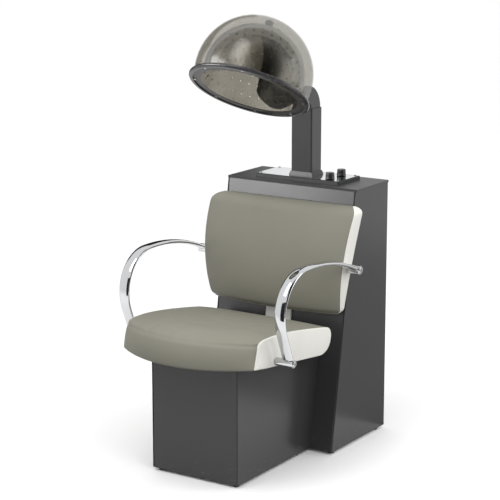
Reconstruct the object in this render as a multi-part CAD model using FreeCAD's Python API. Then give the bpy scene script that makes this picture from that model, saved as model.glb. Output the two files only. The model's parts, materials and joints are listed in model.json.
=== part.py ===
import FreeCAD, Part
import math
import os

# Salon dryer chair: a padded chair on a box, with a hood dryer on a post that stands on the box.
# Frame: +Z up, z = 0 on the floor, the sitter faces -Y, +X is the sitter's left, X = 0 is the
# plane of symmetry. All sizes are in mm and all angles in degrees.

V = FreeCAD.Vector
ORIGIN = V(0, 0, 0)
X_AXIS = V(1, 0, 0)
Y_AXIS = V(0, 1, 0)
Z_AXIS = V(0, 0, 1)
FORWARD = V(0, -1, 0)
DOWN = V(0, 0, -1)

# ---- Driving dimensions ----

sheet = 1.5
bend_radius = 5.0
flange = 20.0
gap = 0.3
foot_clearance = 10.0

cabinet_width = 508.0
cabinet_height = 883.0
cabinet_foot_depth = 359.5
cabinet_lid_depth = 217.1
cabinet_front = 100.0
lid_thickness = 8.0
lid_overhang = 2.0
lid_rear_overhang = 3.5

leg_width = 332.0
leg_depth = 437.0
deck_thickness = 3.0

seat_pitch = 6.5
seat_half_width = 254.0
seat_corner = (-372.0, 414.5)
seat_front_bow = 88.0
seat_front_corner = 27.0
seat_length = 461.0
board_thickness = 30.0
skin = 1.5

back_bow = 40.0
back_half_width = 258.0
back_widening = 0.08
back_board_thickness = 18.0
bracket_width = 98.0
bracket_thickness = 8.0

arm_centre_x = 299.5
arm_tube_width = 40.0
arm_tube_thickness = 15.0
arm_tube_wall = 1.5
arm_front_radius = 133.0
arm_front_centre = (-169.0, 567.0)
arm_crown_radius = 730.0
arm_front_boss = (-249.5, 415.0)
arm_rear_boss = (161.0, 634.0)
front_boss_radius = 13.0
rear_boss_radius = 15.0
boss_end_x = 319.5

tray_width = 331.0
tray_depth = 148.0
tray_height = 10.5
plate_width = 325.0
plate_depth = 142.0
plate_thickness = 2.0
tray_centre_y = 351.0
knob_radius = 15.75
knob_height = 22.0
knob_x = 114.0
timer_y = 308.0
heat_y = 384.5

post_width = 82.0
post_depth = 66.0
post_wall = 2.5
post_corner = 5.0
post_centre_y = 341.0
post_foot = 850.0
post_top = 1127.5
slide_clearance = 0.3
hood_arm_width = 73.0
hood_arm_depth = 57.0
hood_arm_wall = 2.0
hood_arm_bend = 79.0
hood_arm_foot = 868.0
hinge_y = 230.0
drum_radius = 26.0
hinge_pin_radius = 5.0
running_clearance = 0.05

hood_tilt = 30.25
hood_centre = V(0, 10.4, 1270.4)
outer_radius = 192.7
outer_wall = 3.0
inner_radius = 165.0
inner_wall = 3.0
rim_level = -50.0
rim_radius = 201.5
rim_height = 13.5
flange_radius = 186.8
ledge_radius = 178.0
ledge_thickness = 5.3
perforation_radius = 2.6
perforation_spacing = 30.0

blower_axis = (297.0, 590.0)
scroll_radius = 80.0
scroll_width = 64.0
shelf_top = 505.0
impeller_radius = 62.0
impeller_blades = 24

# ---- Values that follow from them ----

cabinet_back = cabinet_front + cabinet_foot_depth
panel_top = cabinet_height - lid_thickness
front_lean = (cabinet_foot_depth - cabinet_lid_depth) / (cabinet_height - foot_clearance)
lean_angle = math.degrees(math.atan(front_lean))
half_width = cabinet_width / 2
leg_half = leg_width / 2
leg_front = cabinet_front - leg_depth
tray_top = cabinet_height + tray_height
plate_top = tray_top + plate_thickness
hood_arm_rear = post_centre_y + hood_arm_depth / 2
bend_centre_y = hood_arm_rear - hood_arm_bend
hinge_z = post_top + hood_arm_bend - hood_arm_depth / 2
ear_inner_x = hood_arm_width / 2 - hood_arm_wall

reach = 1000.0
parts = {}


# ---- Small tools ----

def box(x0, x1, y0, y1, z0, z1):
    return Part.makeBox(x1 - x0, y1 - y0, z1 - z0, V(x0, y0, z0))


def slab(y0=-reach, y1=reach, z0=-reach, z1=reach):
    """Block right across the chair, for cutting away all that lies beyond a plane."""
    return box(-reach, reach, y0, y1, z0, z1)


def rod(radius, start, axis, length):
    return Part.makeCylinder(radius, length, start, axis)


def tube(outer, inner, start, axis, length):
    return rod(outer, start, axis, length).cut(rod(inner, start, axis, length))


def join(shapes):
    whole = shapes[0]
    for shape in shapes[1:]:
        whole = whole.fuse(shape)
    return whole.removeSplitter()


def mirrored(shape):
    return shape.mirror(ORIGIN, X_AXIS)


def both_sides(shape):
    return Part.makeCompound([shape, mirrored(shape)])


def drill(shape, tools):
    for tool in tools:
        shape = shape.cut(tool)
    return shape


def fillet_along(shape, radius, axis, wanted):
    """Round the straight edges that run along an axis and whose middle passes the test."""
    chosen = []
    for edge in shape.Edges:
        start, end = edge.Vertexes[0].Point, edge.Vertexes[-1].Point
        run = end.sub(start)
        if run.Length > 1e-6 and abs(run.normalize().dot(axis)) > 0.999:
            if wanted(start.add(end).multiply(0.5)):
                chosen.append(edge)
    return shape.makeFillet(radius, chosen)


def every_edge(middle):
    return True


def rounded_box(x0, x1, y0, y1, z0, z1, radius):
    return fillet_along(box(x0, x1, y0, y1, z0, z1), radius, Z_AXIS, every_edge)


def plate_yz(edges, x0, x1):
    """Extrude a closed outline, drawn at X = x0 in the YZ plane, to X = x1."""
    face = Part.Face(Part.Wire(edges))
    return face.extrude(V(x1 - x0, 0, 0))


def polygon_yz(points, x0, x1):
    corners = [V(x0, y, z) for y, z in points]
    face = Part.Face(Part.makePolygon(corners + corners[:1]))
    return face.extrude(V(x1 - x0, 0, 0))


def line(a, b):
    return Part.LineSegment(a, b).toShape()


def straight(a, b, x):
    return line(V(x, *a), V(x, *b))


def bend(a, middle, b, x):
    return Part.Arc(V(x, *a), V(x, *middle), V(x, *b)).toShape()


def through_three(first, second, third):
    """The parabola y(z) through three (y, z) points."""
    def y_at(z):
        total = 0.0
        for y0, z0 in (first, second, third):
            weight = 1.0
            for y1, z1 in (first, second, third):
                if z1 != z0:
                    weight *= (z - z1) / (z0 - z1)
            total += y0 * weight
        return total
    return y_at


# ---- Places: the leaning front, the sloping seat and the tilted hood ----

def front_y(z):
    """Y of the cabinet's leaning front at a height."""
    return cabinet_front + (z - foot_clearance) * front_lean


def on_front(shape):
    """Place a shape drawn with y = 0 on the cabinet's front and z up along it from its foot."""
    shape.rotate(ORIGIN, X_AXIS, -lean_angle)
    shape.translate(V(0, cabinet_front, foot_clearance))
    return shape


def on_seat(shape):
    """Place a shape drawn with z = 0 on the seat's underside and y back from its front corner."""
    shape.rotate(ORIGIN, X_AXIS, -seat_pitch)
    shape.translate(V(0, seat_corner[0], seat_corner[1]))
    return shape


def on_hood(shape):
    """Place a shape drawn about the hood's own centre, +Z up its axis and +Y to its rear."""
    shape.rotate(ORIGIN, X_AXIS, -hood_tilt)
    shape.translate(hood_centre)
    return shape


def seat_z(y):
    """Height of the seat's underside."""
    return seat_corner[1] - (y - seat_corner[0]) * math.tan(math.radians(seat_pitch))


def seat_meets_front():
    """Y where the seat's underside reaches the cabinet's front."""
    slope = math.tan(math.radians(seat_pitch))
    top = seat_corner[1] + seat_corner[0] * slope - foot_clearance
    return (cabinet_front + top * front_lean) / (1 + slope * front_lean)


# ---- Fasteners ----

bolt_radius = 4.0
bolt_length = 30.0
bolt_head_radius = 7.0
bolt_head_height = 4.0
screw_radius = 2.0
screw_length = 8.0
screw_head_radius = 4.0
screw_head_height = 2.0

bracket_places = [(x, z) for x in (-32, 32) for z in (560, 660)]
leg_bolt_x = leg_half - 12
leg_bolt_places = [(x, z) for x in (-leg_bolt_x, leg_bolt_x) for z in (80, 270)]
seat_bolt_places = [(x, y) for x in (-110, 110) for y in (110, 340)]


def frame_bolt(under_head, direction):
    """M8 button-head bolt: the head sits at under_head, the shank runs along direction."""
    back = V(direction).multiply(-1)
    head = rod(bolt_head_radius, under_head, back, bolt_head_height)
    shank = rod(bolt_radius, under_head, direction, bolt_length)
    return join([head, shank])


def small_screw(under_head, direction):
    """M4 pan-head screw."""
    back = V(direction).multiply(-1)
    head = rod(screw_head_radius, under_head, back, screw_head_height)
    shank = rod(screw_radius, under_head, direction, screw_length)
    return join([head, shank])


def bracket_bolts():
    """Inside the cabinet, through its front and the back bracket into the standoffs."""
    return [on_front(frame_bolt(V(x, sheet, z), FORWARD)) for x, z in bracket_places]


def leg_bolts():
    """Inside the cabinet, through its front into the leg box's rear flanges."""
    return [on_front(frame_bolt(V(x, sheet, z), FORWARD)) for x, z in leg_bolt_places]


def seat_bolts():
    """From under the deck into the seat board."""
    return [on_seat(frame_bolt(V(x, y, -deck_thickness), Z_AXIS)) for x, y in seat_bolt_places]


def arm_bolt(boss, radius):
    """Button head on the boss's outer end, shank through the boss into the board inside."""
    y, z = boss
    head = rod(radius - 4.0, V(boss_end_x, y, z), X_AXIS, 3.5)
    head = head.makeFillet(2.0, [head.Edges[0]])
    socket = rod(2.5, V(boss_end_x + 1.5, y, z), X_AXIS, 4.0)
    shank = rod(bolt_radius, V(205, y, z), X_AXIS, boss_end_x - 205)
    return join([head.cut(socket), shank])


front_arm_bolt = arm_bolt(arm_front_boss, front_boss_radius)
rear_arm_bolt = arm_bolt(arm_rear_boss, rear_boss_radius)
arm_bolt_solids = [front_arm_bolt, rear_arm_bolt, mirrored(front_arm_bolt), mirrored(rear_arm_bolt)]


# ---- Cabinet ----

glide_places = [(145, -315), (145, 40), (236, 124), (236, 422)]
glide_stem = 4.0


def glide_stems():
    stems = []
    for x, y in glide_places:
        for side in (-1, 1):
            stems.append(rod(glide_stem, V(side * x, y, foot_clearance - 1), Z_AXIS, 14))
    return stems


def floor_glides():
    glides = []
    for x, y in glide_places:
        for side in (-1, 1):
            centre = V(side * x, y, 0)
            foot = Part.makeCone(10.0, 11.5, 3.0, centre)
            body = rod(11.5, V(side * x, y, 3.0), Z_AXIS, foot_clearance - 3.0)
            stem = rod(glide_stem, V(side * x, y, foot_clearance), Z_AXIS, 12)
            glides.append(join([foot, body, stem]))
    return Part.makeCompound(glides)


def pan(half, depth, z0, z1):
    """A sheet face at y = 0, X within +-half, with its sides bent back over a radius."""
    outer = fillet_along(box(-half, half, 0, depth, z0, z1), bend_radius, Z_AXIS, at_front)
    cavity = box(sheet - half, half - sheet, sheet, depth + 20, z0 - 1, z1 + 1)
    cavity = fillet_along(cavity, bend_radius - sheet, Z_AXIS, at_front)
    return outer.cut(cavity)


def at_front(middle):
    return middle.y < 2 * sheet


def cabinet_side():
    front_foot = (front_y(foot_clearance), foot_clearance)
    front_head = (front_y(panel_top), panel_top)
    back_head = (cabinet_back - sheet, panel_top)
    back_foot = (cabinet_back - sheet, foot_clearance)
    wall = polygon_yz([front_foot, back_foot, back_head, front_head], half_width - sheet, half_width)
    inner = half_width - sheet
    lip = box(inner - flange, inner, cabinet_back - 2 * sheet, cabinet_back - sheet,
              foot_clearance, panel_top)
    return drill(join([wall, lip]), panel_screws())


def cabinet_front_panel():
    half = half_width - sheet - 0.6
    panel = on_front(pan(half, flange, -40, 940))
    level = slab(z0=foot_clearance, z1=panel_top)
    return drill(panel.common(level), bracket_bolts() + leg_bolts())


def back_screw_places():
    return [(x, z) for x in (-half_width + 12, half_width - 12) for z in (60, 330, 600, 840)]


def panel_screws():
    screws = []
    for x, z in back_screw_places():
        screws.append(small_screw(V(x, cabinet_back, z), FORWARD))
    for x in (-plate_width / 2 + 10, plate_width / 2 - 10):
        for y in (-plate_depth / 2 + 10, plate_depth / 2 - 10):
            screws.append(small_screw(V(x, tray_centre_y + y, plate_top), DOWN))
    return screws


inlet_place = (-170.0, 110.0)


def vent_slots():
    """Two columns of slots in the back panel beside the blower's intake."""
    slots = []
    for x in (-85, 85):
        for row in range(10):
            z = 520 + row * 16
            slot = box(x - 60, x + 60, cabinet_back - 10, cabinet_back + 10, z, z + 5)
            slots.append(fillet_along(slot, 2.4, Y_AXIS, every_edge))
    return slots


def inlet_opening(grow):
    x, z = inlet_place
    return box(x - 14 - grow, x + 14 + grow, cabinet_back - 10, cabinet_back + 10,
               z - 10 - grow, z + 10 + grow)


def cabinet_back_panel():
    panel = box(-half_width, half_width, cabinet_back - sheet, cabinet_back,
                foot_clearance, panel_top)
    return drill(panel, vent_slots() + panel_screws() + [inlet_opening(0)])


def power_inlet():
    """Appliance inlet: a flanged plastic socket with three contact pins."""
    x, z = inlet_place
    collar = rounded_face_plate(x, z, 20, 15, cabinet_back, cabinet_back + 1.5)
    body = box(x - 14, x + 14, cabinet_back - 28, cabinet_back, z - 10, z + 10)
    well = box(x - 11.5, x + 11.5, cabinet_back - 22, cabinet_back + 3, z - 7.5, z + 7.5)
    shell = join([collar, body]).cut(well)
    pins = [box(x + dx - 1, x + dx + 1, cabinet_back - 23, cabinet_back - 5, z + dz - 2.5, z + dz + 2.5)
            for dx, dz in ((-7, -1.5), (0, 1.5), (7, -1.5))]
    return join([shell] + pins)


def rounded_face_plate(x, z, half_x, half_z, y0, y1):
    plate = box(x - half_x, x + half_x, y0, y1, z - half_z, z + half_z)
    return fillet_along(plate, 3.0, Y_AXIS, every_edge)


unit_opening_x = 150.0
unit_opening_y = 66.0


def unit_opening(z0, z1):
    """The cut-out in the lid and the tray that the dryer unit hangs through."""
    return box(-unit_opening_x, unit_opening_x, tray_centre_y - unit_opening_y,
               tray_centre_y + unit_opening_y, z0, z1)


def cabinet_lid():
    over = half_width + lid_overhang
    lid = rounded_box(-over, over, front_y(cabinet_height) - lid_overhang,
                      cabinet_back + lid_rear_overhang, panel_top, cabinet_height, 3.0)
    return lid.cut(unit_opening(panel_top - 1, cabinet_height + 1))


def cabinet_floor():
    back = cabinet_back - 2 * sheet
    base = box(sheet - half_width, half_width - sheet, cabinet_front - 5, back,
               foot_clearance, foot_clearance + sheet)
    outside = on_front(slab(y1=sheet))
    pans = [parts["cabinet_front_panel"], parts["cabinet_side_left"], parts["cabinet_side_right"]]
    return drill(base, [outside] + pans + glide_stems())


def blower_shelf():
    half = half_width - sheet
    y0, y1 = 220.0, cabinet_back - 2 * sheet
    top = box(-half, half, y0, y1, shelf_top - 2, shelf_top)
    front_lip = box(-half, half, y0, y0 + 2, shelf_top - 20, shelf_top)
    back_lip = box(flange - half, half - flange, y1 - 2, y1, shelf_top - 20, shelf_top)
    return join([top, front_lip, back_lip])


def make_cabinet():
    parts["cabinet_side_left"] = cabinet_side()
    parts["cabinet_side_right"] = mirrored(cabinet_side())
    parts["cabinet_front_panel"] = cabinet_front_panel()
    parts["cabinet_back_panel"] = cabinet_back_panel()
    parts["cabinet_lid"] = cabinet_lid()
    parts["cabinet_floor"] = cabinet_floor()
    parts["blower_shelf"] = blower_shelf()
    parts["power_inlet"] = power_inlet()
    parts["panel_screws"] = Part.makeCompound(panel_screws())
    parts["floor_glides"] = floor_glides()


# ---- Leg box under the seat ----

def leg_side():
    """Side wall with a foot flange for the glides and a rear flange against the cabinet."""
    outer, inner = leg_half, leg_half - sheet
    rear = seat_meets_front()
    corners = [(leg_front, foot_clearance), (cabinet_front, foot_clearance),
               (rear, seat_z(rear)), (leg_front, seat_z(leg_front))]
    wall = polygon_yz(corners, inner, outer)
    foot = box(inner - 32, inner, leg_front + flange + 2, cabinet_front - sheet,
               foot_clearance, foot_clearance + sheet)
    rear_lip = on_front(box(inner - flange, inner, -sheet, 0, 0, 400))
    rear_lip = rear_lip.cut(on_seat(slab(z0=-deck_thickness)))
    rear_lip = rear_lip.common(slab(z0=foot_clearance))
    return drill(join([wall, foot, rear_lip]), glide_stems() + leg_bolts())


def leg_front_panel():
    half = leg_half - sheet - 0.6
    panel = pan(half, flange, foot_clearance, 500)
    panel.translate(V(0, leg_front, 0))
    return panel.cut(on_seat(slab(z0=-deck_thickness)))


def seat_deck():
    """Steel plate between the leg box's walls that carries the seat board."""
    half = leg_half - sheet - 0.1
    plate = on_seat(box(-half, half, -40, 700, -deck_thickness, 0))
    plate = plate.common(slab(y0=leg_front)).cut(on_front(slab(y0=0)))
    return drill(plate, seat_bolts())


def make_leg_box():
    parts["leg_side_left"] = leg_side()
    parts["leg_side_right"] = mirrored(leg_side())
    parts["leg_front_panel"] = leg_front_panel()
    parts["seat_deck"] = seat_deck()


# ---- Seat ----

def seat_profile(x0, x1):
    """The seat's side view: a drooping front, a crowned top and a rounded rear end."""
    front_foot = (-seat_front_bow + 1, -16)
    front_belly = (-seat_front_bow - 5.2, 26)
    front_head = (-seat_front_bow + 4, 68)
    brow = (-55, 90)
    top_front = (0, 98)
    top_middle = (200, 104)
    top_rear = (431, 90)
    rear = (seat_length, 58)
    under_rear = (404, 0)
    under_front = (25, 0)
    edges = [
        straight(under_front, front_foot, x0),
        bend(front_foot, front_belly, front_head, x0),
        bend(front_head, brow, top_front, x0),
        bend(top_front, top_middle, top_rear, x0),
        bend(top_rear, (451, 79), rear, x0),
        bend(rear, (445, 19), under_rear, x0),
        straight(under_rear, under_front, x0),
    ]
    return plate_yz(edges, x0, x1)


def seat_plan(half, setback, z0, z1):
    """The seat from above: a bowed front with round corners."""
    rear = seat_length + 10
    corners = [V(half, setback, z0), V(half, rear, z0), V(-half, rear, z0), V(-half, setback, z0)]
    edges = [line(a, b) for a, b in zip(corners, corners[1:])]
    edges.append(Part.Arc(corners[3], V(0, setback - seat_front_bow - 8, z0), corners[0]).toShape())
    prism = Part.Face(Part.Wire(edges)).extrude(V(0, 0, z1 - z0))
    return fillet_along(prism, seat_front_corner, Z_AXIS, lambda middle: middle.y < setback + 1)


def seat_board():
    board = seat_plan(seat_half_width - 14, 14, 0, board_thickness)
    board = board.common(box(-300, 300, -200, 388, -10, 100))
    return drill(on_seat(board), seat_bolts() + arm_bolt_solids)


def seat_cushion():
    half = seat_half_width - skin - gap
    cushion = seat_profile(-half, half).common(seat_plan(half, 0, -40, 140))
    cushion = on_seat(cushion)
    return drill(cushion, [parts["seat_board"]] + seat_bolts() + arm_bolt_solids)


def seat_side():
    """White side cover of the seat cushion, whose front edge slopes with the cushion's corner."""
    outer, inner = seat_half_width, seat_half_width - skin
    front_edge = [(0, -20), (2, 40), (18, 80), (60, 120), (600, 120), (600, -20)]
    cover = seat_profile(inner, outer).common(polygon_yz(front_edge, inner, outer))
    return drill(on_seat(cover), arm_bolt_solids)


def make_seat():
    parts["seat_board"] = seat_board()
    parts["seat_cushion"] = seat_cushion()
    parts["seat_side_left"] = seat_side()
    parts["seat_side_right"] = mirrored(seat_side())
    bolts = bracket_bolts() + leg_bolts() + seat_bolts()
    parts["frame_bolts"] = Part.makeCompound(bolts)


# ---- Back ----

back_face = through_three((133.0, 505.0), (120.5, 600.0), (168.0, 800.0))
back_rear = through_three((165.0, 505.0), (185.0, 650.0), (228.0, 800.0))
back_levels = [(474, 0.35), (484, 0.75), (504, 1.0), (560, 1.0), (640, 1.0), (720, 1.0),
               (786, 1.0), (812, 0.86), (826, 0.58), (832, 0.3)]


def back_half(z, fullness):
    return back_half_width + (z - 505) * back_widening - (1 - fullness) * 34


def back_section(z, fullness):
    """One level of the back cushion: straight rear and sides and a bowed front."""
    middle = (back_face(z) + back_rear(z)) / 2 + (1 - fullness) * 8
    front = middle + (back_face(z) - middle) * fullness
    rear = middle + (back_rear(z) - middle) * fullness
    half = back_half(z, fullness) - skin - gap
    bow = back_bow * (0.4 + 0.6 * fullness)
    corners = [V(half, front, z), V(half, rear, z), V(-half, rear, z), V(-half, front, z)]
    edges = [line(a, b) for a, b in zip(corners, corners[1:])]
    edges.append(Part.Arc(corners[3], V(0, front - bow, z), corners[0]).toShape())
    return Part.Wire(edges)


def back_cushion():
    cushion = Part.makeLoft([back_section(z, full) for z, full in back_levels], True, False)
    inside = [parts[name] for name in ("back_board", "back_side_left", "back_side_right")]
    return drill(cushion, inside + back_standoff_list() + arm_bolt_solids)


def back_side():
    """White side cover of the back cushion, a lens between the front and rear edges."""
    wires = []
    for z, fullness in back_levels[2:-3]:
        front, rear = back_face(z) + 4, back_rear(z) - 4
        x = back_half(z, fullness)
        corners = [V(x, front, z), V(x, rear, z), V(x - skin, rear, z), V(x - skin, front, z)]
        wires.append(Part.makePolygon(corners + corners[:1]))
    return drill(Part.makeLoft(wires, True, True), arm_bolt_solids)


board_front = -49.0
board_rear = board_front + back_board_thickness
board_foot = 535.0
board_head = 800.0
board_half_width = 236.0
standoff_radius = 9.0
stud_length = 14.0


def back_board():
    """Plywood board inside the back cushion, parallel to the cabinet's front."""
    board = box(-board_half_width, board_half_width, board_front, board_rear, board_foot, board_head)
    board = on_front(fillet_along(board, 30.0, Y_AXIS, every_edge))
    studs = [standoff_stud(x, z) for x, z in bracket_places]
    return drill(board, studs + arm_bolt_solids)


def standoff_stud(x, z):
    return on_front(rod(bolt_radius, V(x, board_rear, z), FORWARD, stud_length))


def back_standoff_list():
    """Steel spacers between the bracket and the board, with a stud into the board."""
    spacers = []
    for x, z in bracket_places:
        barrel = rod(standoff_radius, V(x, board_rear, z), Y_AXIS, -bracket_thickness - board_rear)
        spacers.append(join([on_front(barrel), standoff_stud(x, z)]))
    return spacers


def back_bracket():
    """Flat strap up the cabinet's front, with a foot bent forward onto the deck."""
    half = bracket_width / 2
    strap = on_front(box(-half, half, -bracket_thickness, 0, 300, 700))
    strap = strap.cut(on_seat(slab(z1=0)))
    foot = on_seat(box(-half, half, 436, 600, 0, bracket_thickness))
    foot = foot.cut(on_front(slab(y0=0)))
    return drill(join([strap, foot]), bracket_bolts())


def make_back():
    parts["back_board"] = back_board()
    parts["back_side_left"] = back_side()
    parts["back_side_right"] = mirrored(back_side())
    parts["back_cushion"] = back_cushion()
    parts["back_bracket"] = back_bracket()
    parts["back_standoffs"] = drill(Part.makeCompound(back_standoff_list()), bracket_bolts())


# ---- Arms: oval chrome tube from the seat's side round to the back's side ----

def oval(half_width, half_thickness):
    return Part.Wire(Part.Ellipse(ORIGIN, half_width, half_thickness).toShape())


def tube_face(point, tangent):
    """Hollow oval section, wide along X, across a tangent in the YZ plane."""
    normal = V(tangent).cross(X_AXIS)
    outer = oval(arm_tube_width / 2, arm_tube_thickness / 2)
    inner = oval(arm_tube_width / 2 - arm_tube_wall, arm_tube_thickness / 2 - arm_tube_wall)
    inner.reverse()
    face = Part.Face([outer, inner])
    turn = FreeCAD.Rotation(X_AXIS, normal, tangent, "XYZ")
    face.Placement = FreeCAD.Placement(V(arm_centre_x, *point), turn)
    return face


def lower_crossing(centre_a, radius_a, centre_b, radius_b):
    """The lower of the two points where two circles in the YZ plane cross."""
    dy, dz = centre_b[0] - centre_a[0], centre_b[1] - centre_a[1]
    apart = math.hypot(dy, dz)
    along = (apart ** 2 + radius_a ** 2 - radius_b ** 2) / (2 * apart)
    across = math.sqrt(radius_a ** 2 - along ** 2)
    y, z = centre_a[0] + along * dy / apart, centre_a[1] + along * dz / apart
    candidates = [(y - across * dz / apart, z + across * dy / apart),
                  (y + across * dz / apart, z - across * dy / apart)]
    return min(candidates, key=lambda point: point[1])


def arm_path():
    """Centreline: a straight leg, a tight front arc and a long crown arc, all tangent."""
    cy, cz = arm_front_centre
    by, bz = arm_front_boss
    away = math.hypot(by - cy, bz - cz)
    to_boss = math.atan2(bz - cz, by - cy)
    half_angle = math.acos(arm_front_radius / away)
    touch = to_boss - half_angle
    leg_top = (cy + arm_front_radius * math.cos(touch), cz + arm_front_radius * math.sin(touch))
    inner_reach = arm_crown_radius - arm_front_radius
    crown = lower_crossing(arm_front_centre, inner_reach, arm_rear_boss, arm_crown_radius)
    out_y, out_z = (cy - crown[0]) / inner_reach, (cz - crown[1]) / inner_reach
    crown_start = (cy + arm_front_radius * out_y, cz + arm_front_radius * out_z)
    return leg_top, crown_start, crown


def turned(centre, start, end):
    """Clockwise angle, in degrees, from start to end about a centre in the YZ plane."""
    a = math.atan2(start[1] - centre[1], start[0] - centre[0])
    b = math.atan2(end[1] - centre[1], end[0] - centre[0])
    return math.degrees((a - b) % (2 * math.pi))


def revolve_section(point, centre, angle):
    radial = V(0, point[0] - centre[0], point[1] - centre[1]).normalize()
    tangent = radial.cross(X_AXIS)
    face = tube_face(point, tangent)
    return face.revolve(V(arm_centre_x, *centre), X_AXIS.negative(), angle)


def arm_tube():
    leg_top, crown_start, crown = arm_path()
    boss = V(arm_centre_x, *arm_front_boss)
    run = V(arm_centre_x, *leg_top).sub(boss)
    leg = tube_face(arm_front_boss, V(run).normalize()).extrude(run)
    front = revolve_section(leg_top, arm_front_centre,
                            turned(arm_front_centre, leg_top, crown_start))
    top = revolve_section(crown_start, crown, turned(crown, crown_start, arm_rear_boss))
    whole = join([leg, front, top])
    return drill(whole, [boss_core(arm_front_boss, front_boss_radius),
                         boss_core(arm_rear_boss, rear_boss_radius)])


def boss_core(boss, radius):
    return rod(radius, V(200, *boss), X_AXIS, 200)


def arm_boss(boss, radius, start_x):
    body = rod(radius, V(start_x, *boss), X_AXIS, boss_end_x - start_x)
    body = body.makeChamfer(0.8, [body.Edges[0], body.Edges[2]])
    return drill(body, arm_bolt_solids)


def make_arms():
    parts["arm_left"] = arm_tube()
    parts["arm_right"] = mirrored(arm_tube())
    front_boss = arm_boss(arm_front_boss, front_boss_radius, seat_half_width)
    rear_boss = arm_boss(arm_rear_boss, rear_boss_radius, back_half(arm_rear_boss[1] + 15, 1) + gap)
    parts["arm_front_bosses"] = both_sides(front_boss)
    parts["arm_rear_bosses"] = both_sides(rear_boss)
    parts["arm_bolts"] = Part.makeCompound(arm_bolt_solids)


# ---- Control tray, timer and heat switch on the lid ----

shaft_radius = 3.0
controls = {"timer": timer_y, "heat": heat_y}


def shaft_hole(y, z0, z1, extra):
    return rod(shaft_radius + extra, V(knob_x, y, z0), Z_AXIS, z1 - z0)


def post_outline(z0, z1, grow):
    half_x, half_y = post_width / 2 + grow, post_depth / 2 + grow
    return rounded_box(-half_x, half_x, post_centre_y - half_y, post_centre_y + half_y,
                       z0, z1, max(post_corner + grow, 0.5))


def control_tray():
    half_x, half_y = tray_width / 2, tray_depth / 2
    tray = rounded_box(-half_x, half_x, tray_centre_y - half_y, tray_centre_y + half_y,
                       cabinet_height, tray_top, 4.0)
    opening = unit_opening(cabinet_height - 1, tray_top + 1)
    return drill(tray.cut(opening), panel_screws())


def control_plate():
    half_x, half_y = plate_width / 2, plate_depth / 2
    plate = rounded_box(-half_x, half_x, tray_centre_y - half_y, tray_centre_y + half_y,
                        tray_top, plate_top, 4.0)
    holes = [shaft_hole(y, tray_top - 1, plate_top + 1, 1.0) for y in controls.values()]
    return drill(plate, holes + panel_screws() + [post_outline(tray_top - 1, plate_top + 1, 0)])


def knob(y):
    """Black knob with a grip of shallow flutes, a pointer groove and a blind shaft hole."""
    foot = plate_top + 1.0
    top = foot + knob_height
    body = rod(knob_radius, V(knob_x, y, foot), Z_AXIS, knob_height)
    body = body.makeFillet(1.5, [edge for edge in body.Edges if edge.CenterOfMass.z > top - 0.1])
    for turn in range(20):
        angle = math.radians(turn * 18 + 9)
        centre = V(knob_x + (knob_radius + 1.2) * math.cos(angle),
                   y + (knob_radius + 1.2) * math.sin(angle), foot + 4)
        body = body.cut(rod(2.0, centre, Z_AXIS, knob_height))
    pointer = box(knob_x - 0.8, knob_x + 0.8, y - knob_radius - 1, y - 4, top - 0.8, top + 1)
    return drill(body, [pointer, shaft_hole(y, foot - 1, top - 6, 0)])


def shaft(y):
    foot = tray_top - 18
    return shaft_hole(y, foot, plate_top + knob_height + 1 - 6, 0)


def control_body(y, shape):
    """The case under the plate, with a bushing that carries the shaft."""
    bush = rod(shaft_radius + 2.5, V(knob_x, y, tray_top - 4), Z_AXIS, 4)
    hole = shaft_hole(y, tray_top - 18 - 0.2, tray_top + 1, running_clearance)
    return join([shape, bush]).cut(hole)


def timer_body():
    return control_body(timer_y, rod(21, V(knob_x, timer_y, tray_top - 34), Z_AXIS, 30))


def heat_switch_body():
    case = rounded_box(knob_x - 15, knob_x + 15, heat_y - 14, heat_y + 14,
                       tray_top - 30, tray_top - 4, 2.0)
    return control_body(heat_y, case)


def make_controls():
    parts["control_tray"] = control_tray()
    parts["control_plate"] = control_plate()
    parts["timer_body"] = timer_body()
    parts["timer_shaft"] = shaft(timer_y)
    parts["timer_knob"] = knob(timer_y)
    parts["heat_switch_body"] = heat_switch_body()
    parts["heat_switch_shaft"] = shaft(heat_y)
    parts["heat_knob"] = knob(heat_y)


# ---- Post and hood arm ----

lock_level = 1086.0


def lock_hole(radius):
    return rod(radius, V(0, hood_arm_rear - 2, lock_level), Y_AXIS, 40)


def post_bore(z0, z1, grow):
    """The post's inside, grown or shrunk by a margin."""
    return post_outline(z0, z1, grow - post_wall)


def post():
    """Rectangular tube with a threaded boss for the lock screw on its rear."""
    shell = post_outline(post_foot, post_top, 0).cut(post_bore(post_foot - 1, post_top + 1, 0))
    rear = post_centre_y + post_depth / 2
    nut = rod(9.0, V(0, rear, lock_level), Y_AXIS, 7.0)
    return join([shell, nut]).cut(lock_hole(bolt_radius + running_clearance))


def post_collar():
    """Flared moulding round the post's foot."""
    wires = []
    for z, grow in ((plate_top, 5.0), (plate_top + 3, 4.5), (plate_top + 14, 1.2)):
        half_x, half_y = post_width / 2 + grow, post_depth / 2 + grow
        corners = [V(-half_x, -half_y, z), V(half_x, -half_y, z), V(half_x, half_y, z),
                   V(-half_x, half_y, z)]
        wires.append(Part.makePolygon(corners + corners[:1]))
    body = Part.makeLoft(wires, True, True)
    body.translate(V(0, post_centre_y, 0))
    return body.cut(post_outline(plate_top - 1, plate_top + 20, 0))


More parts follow.
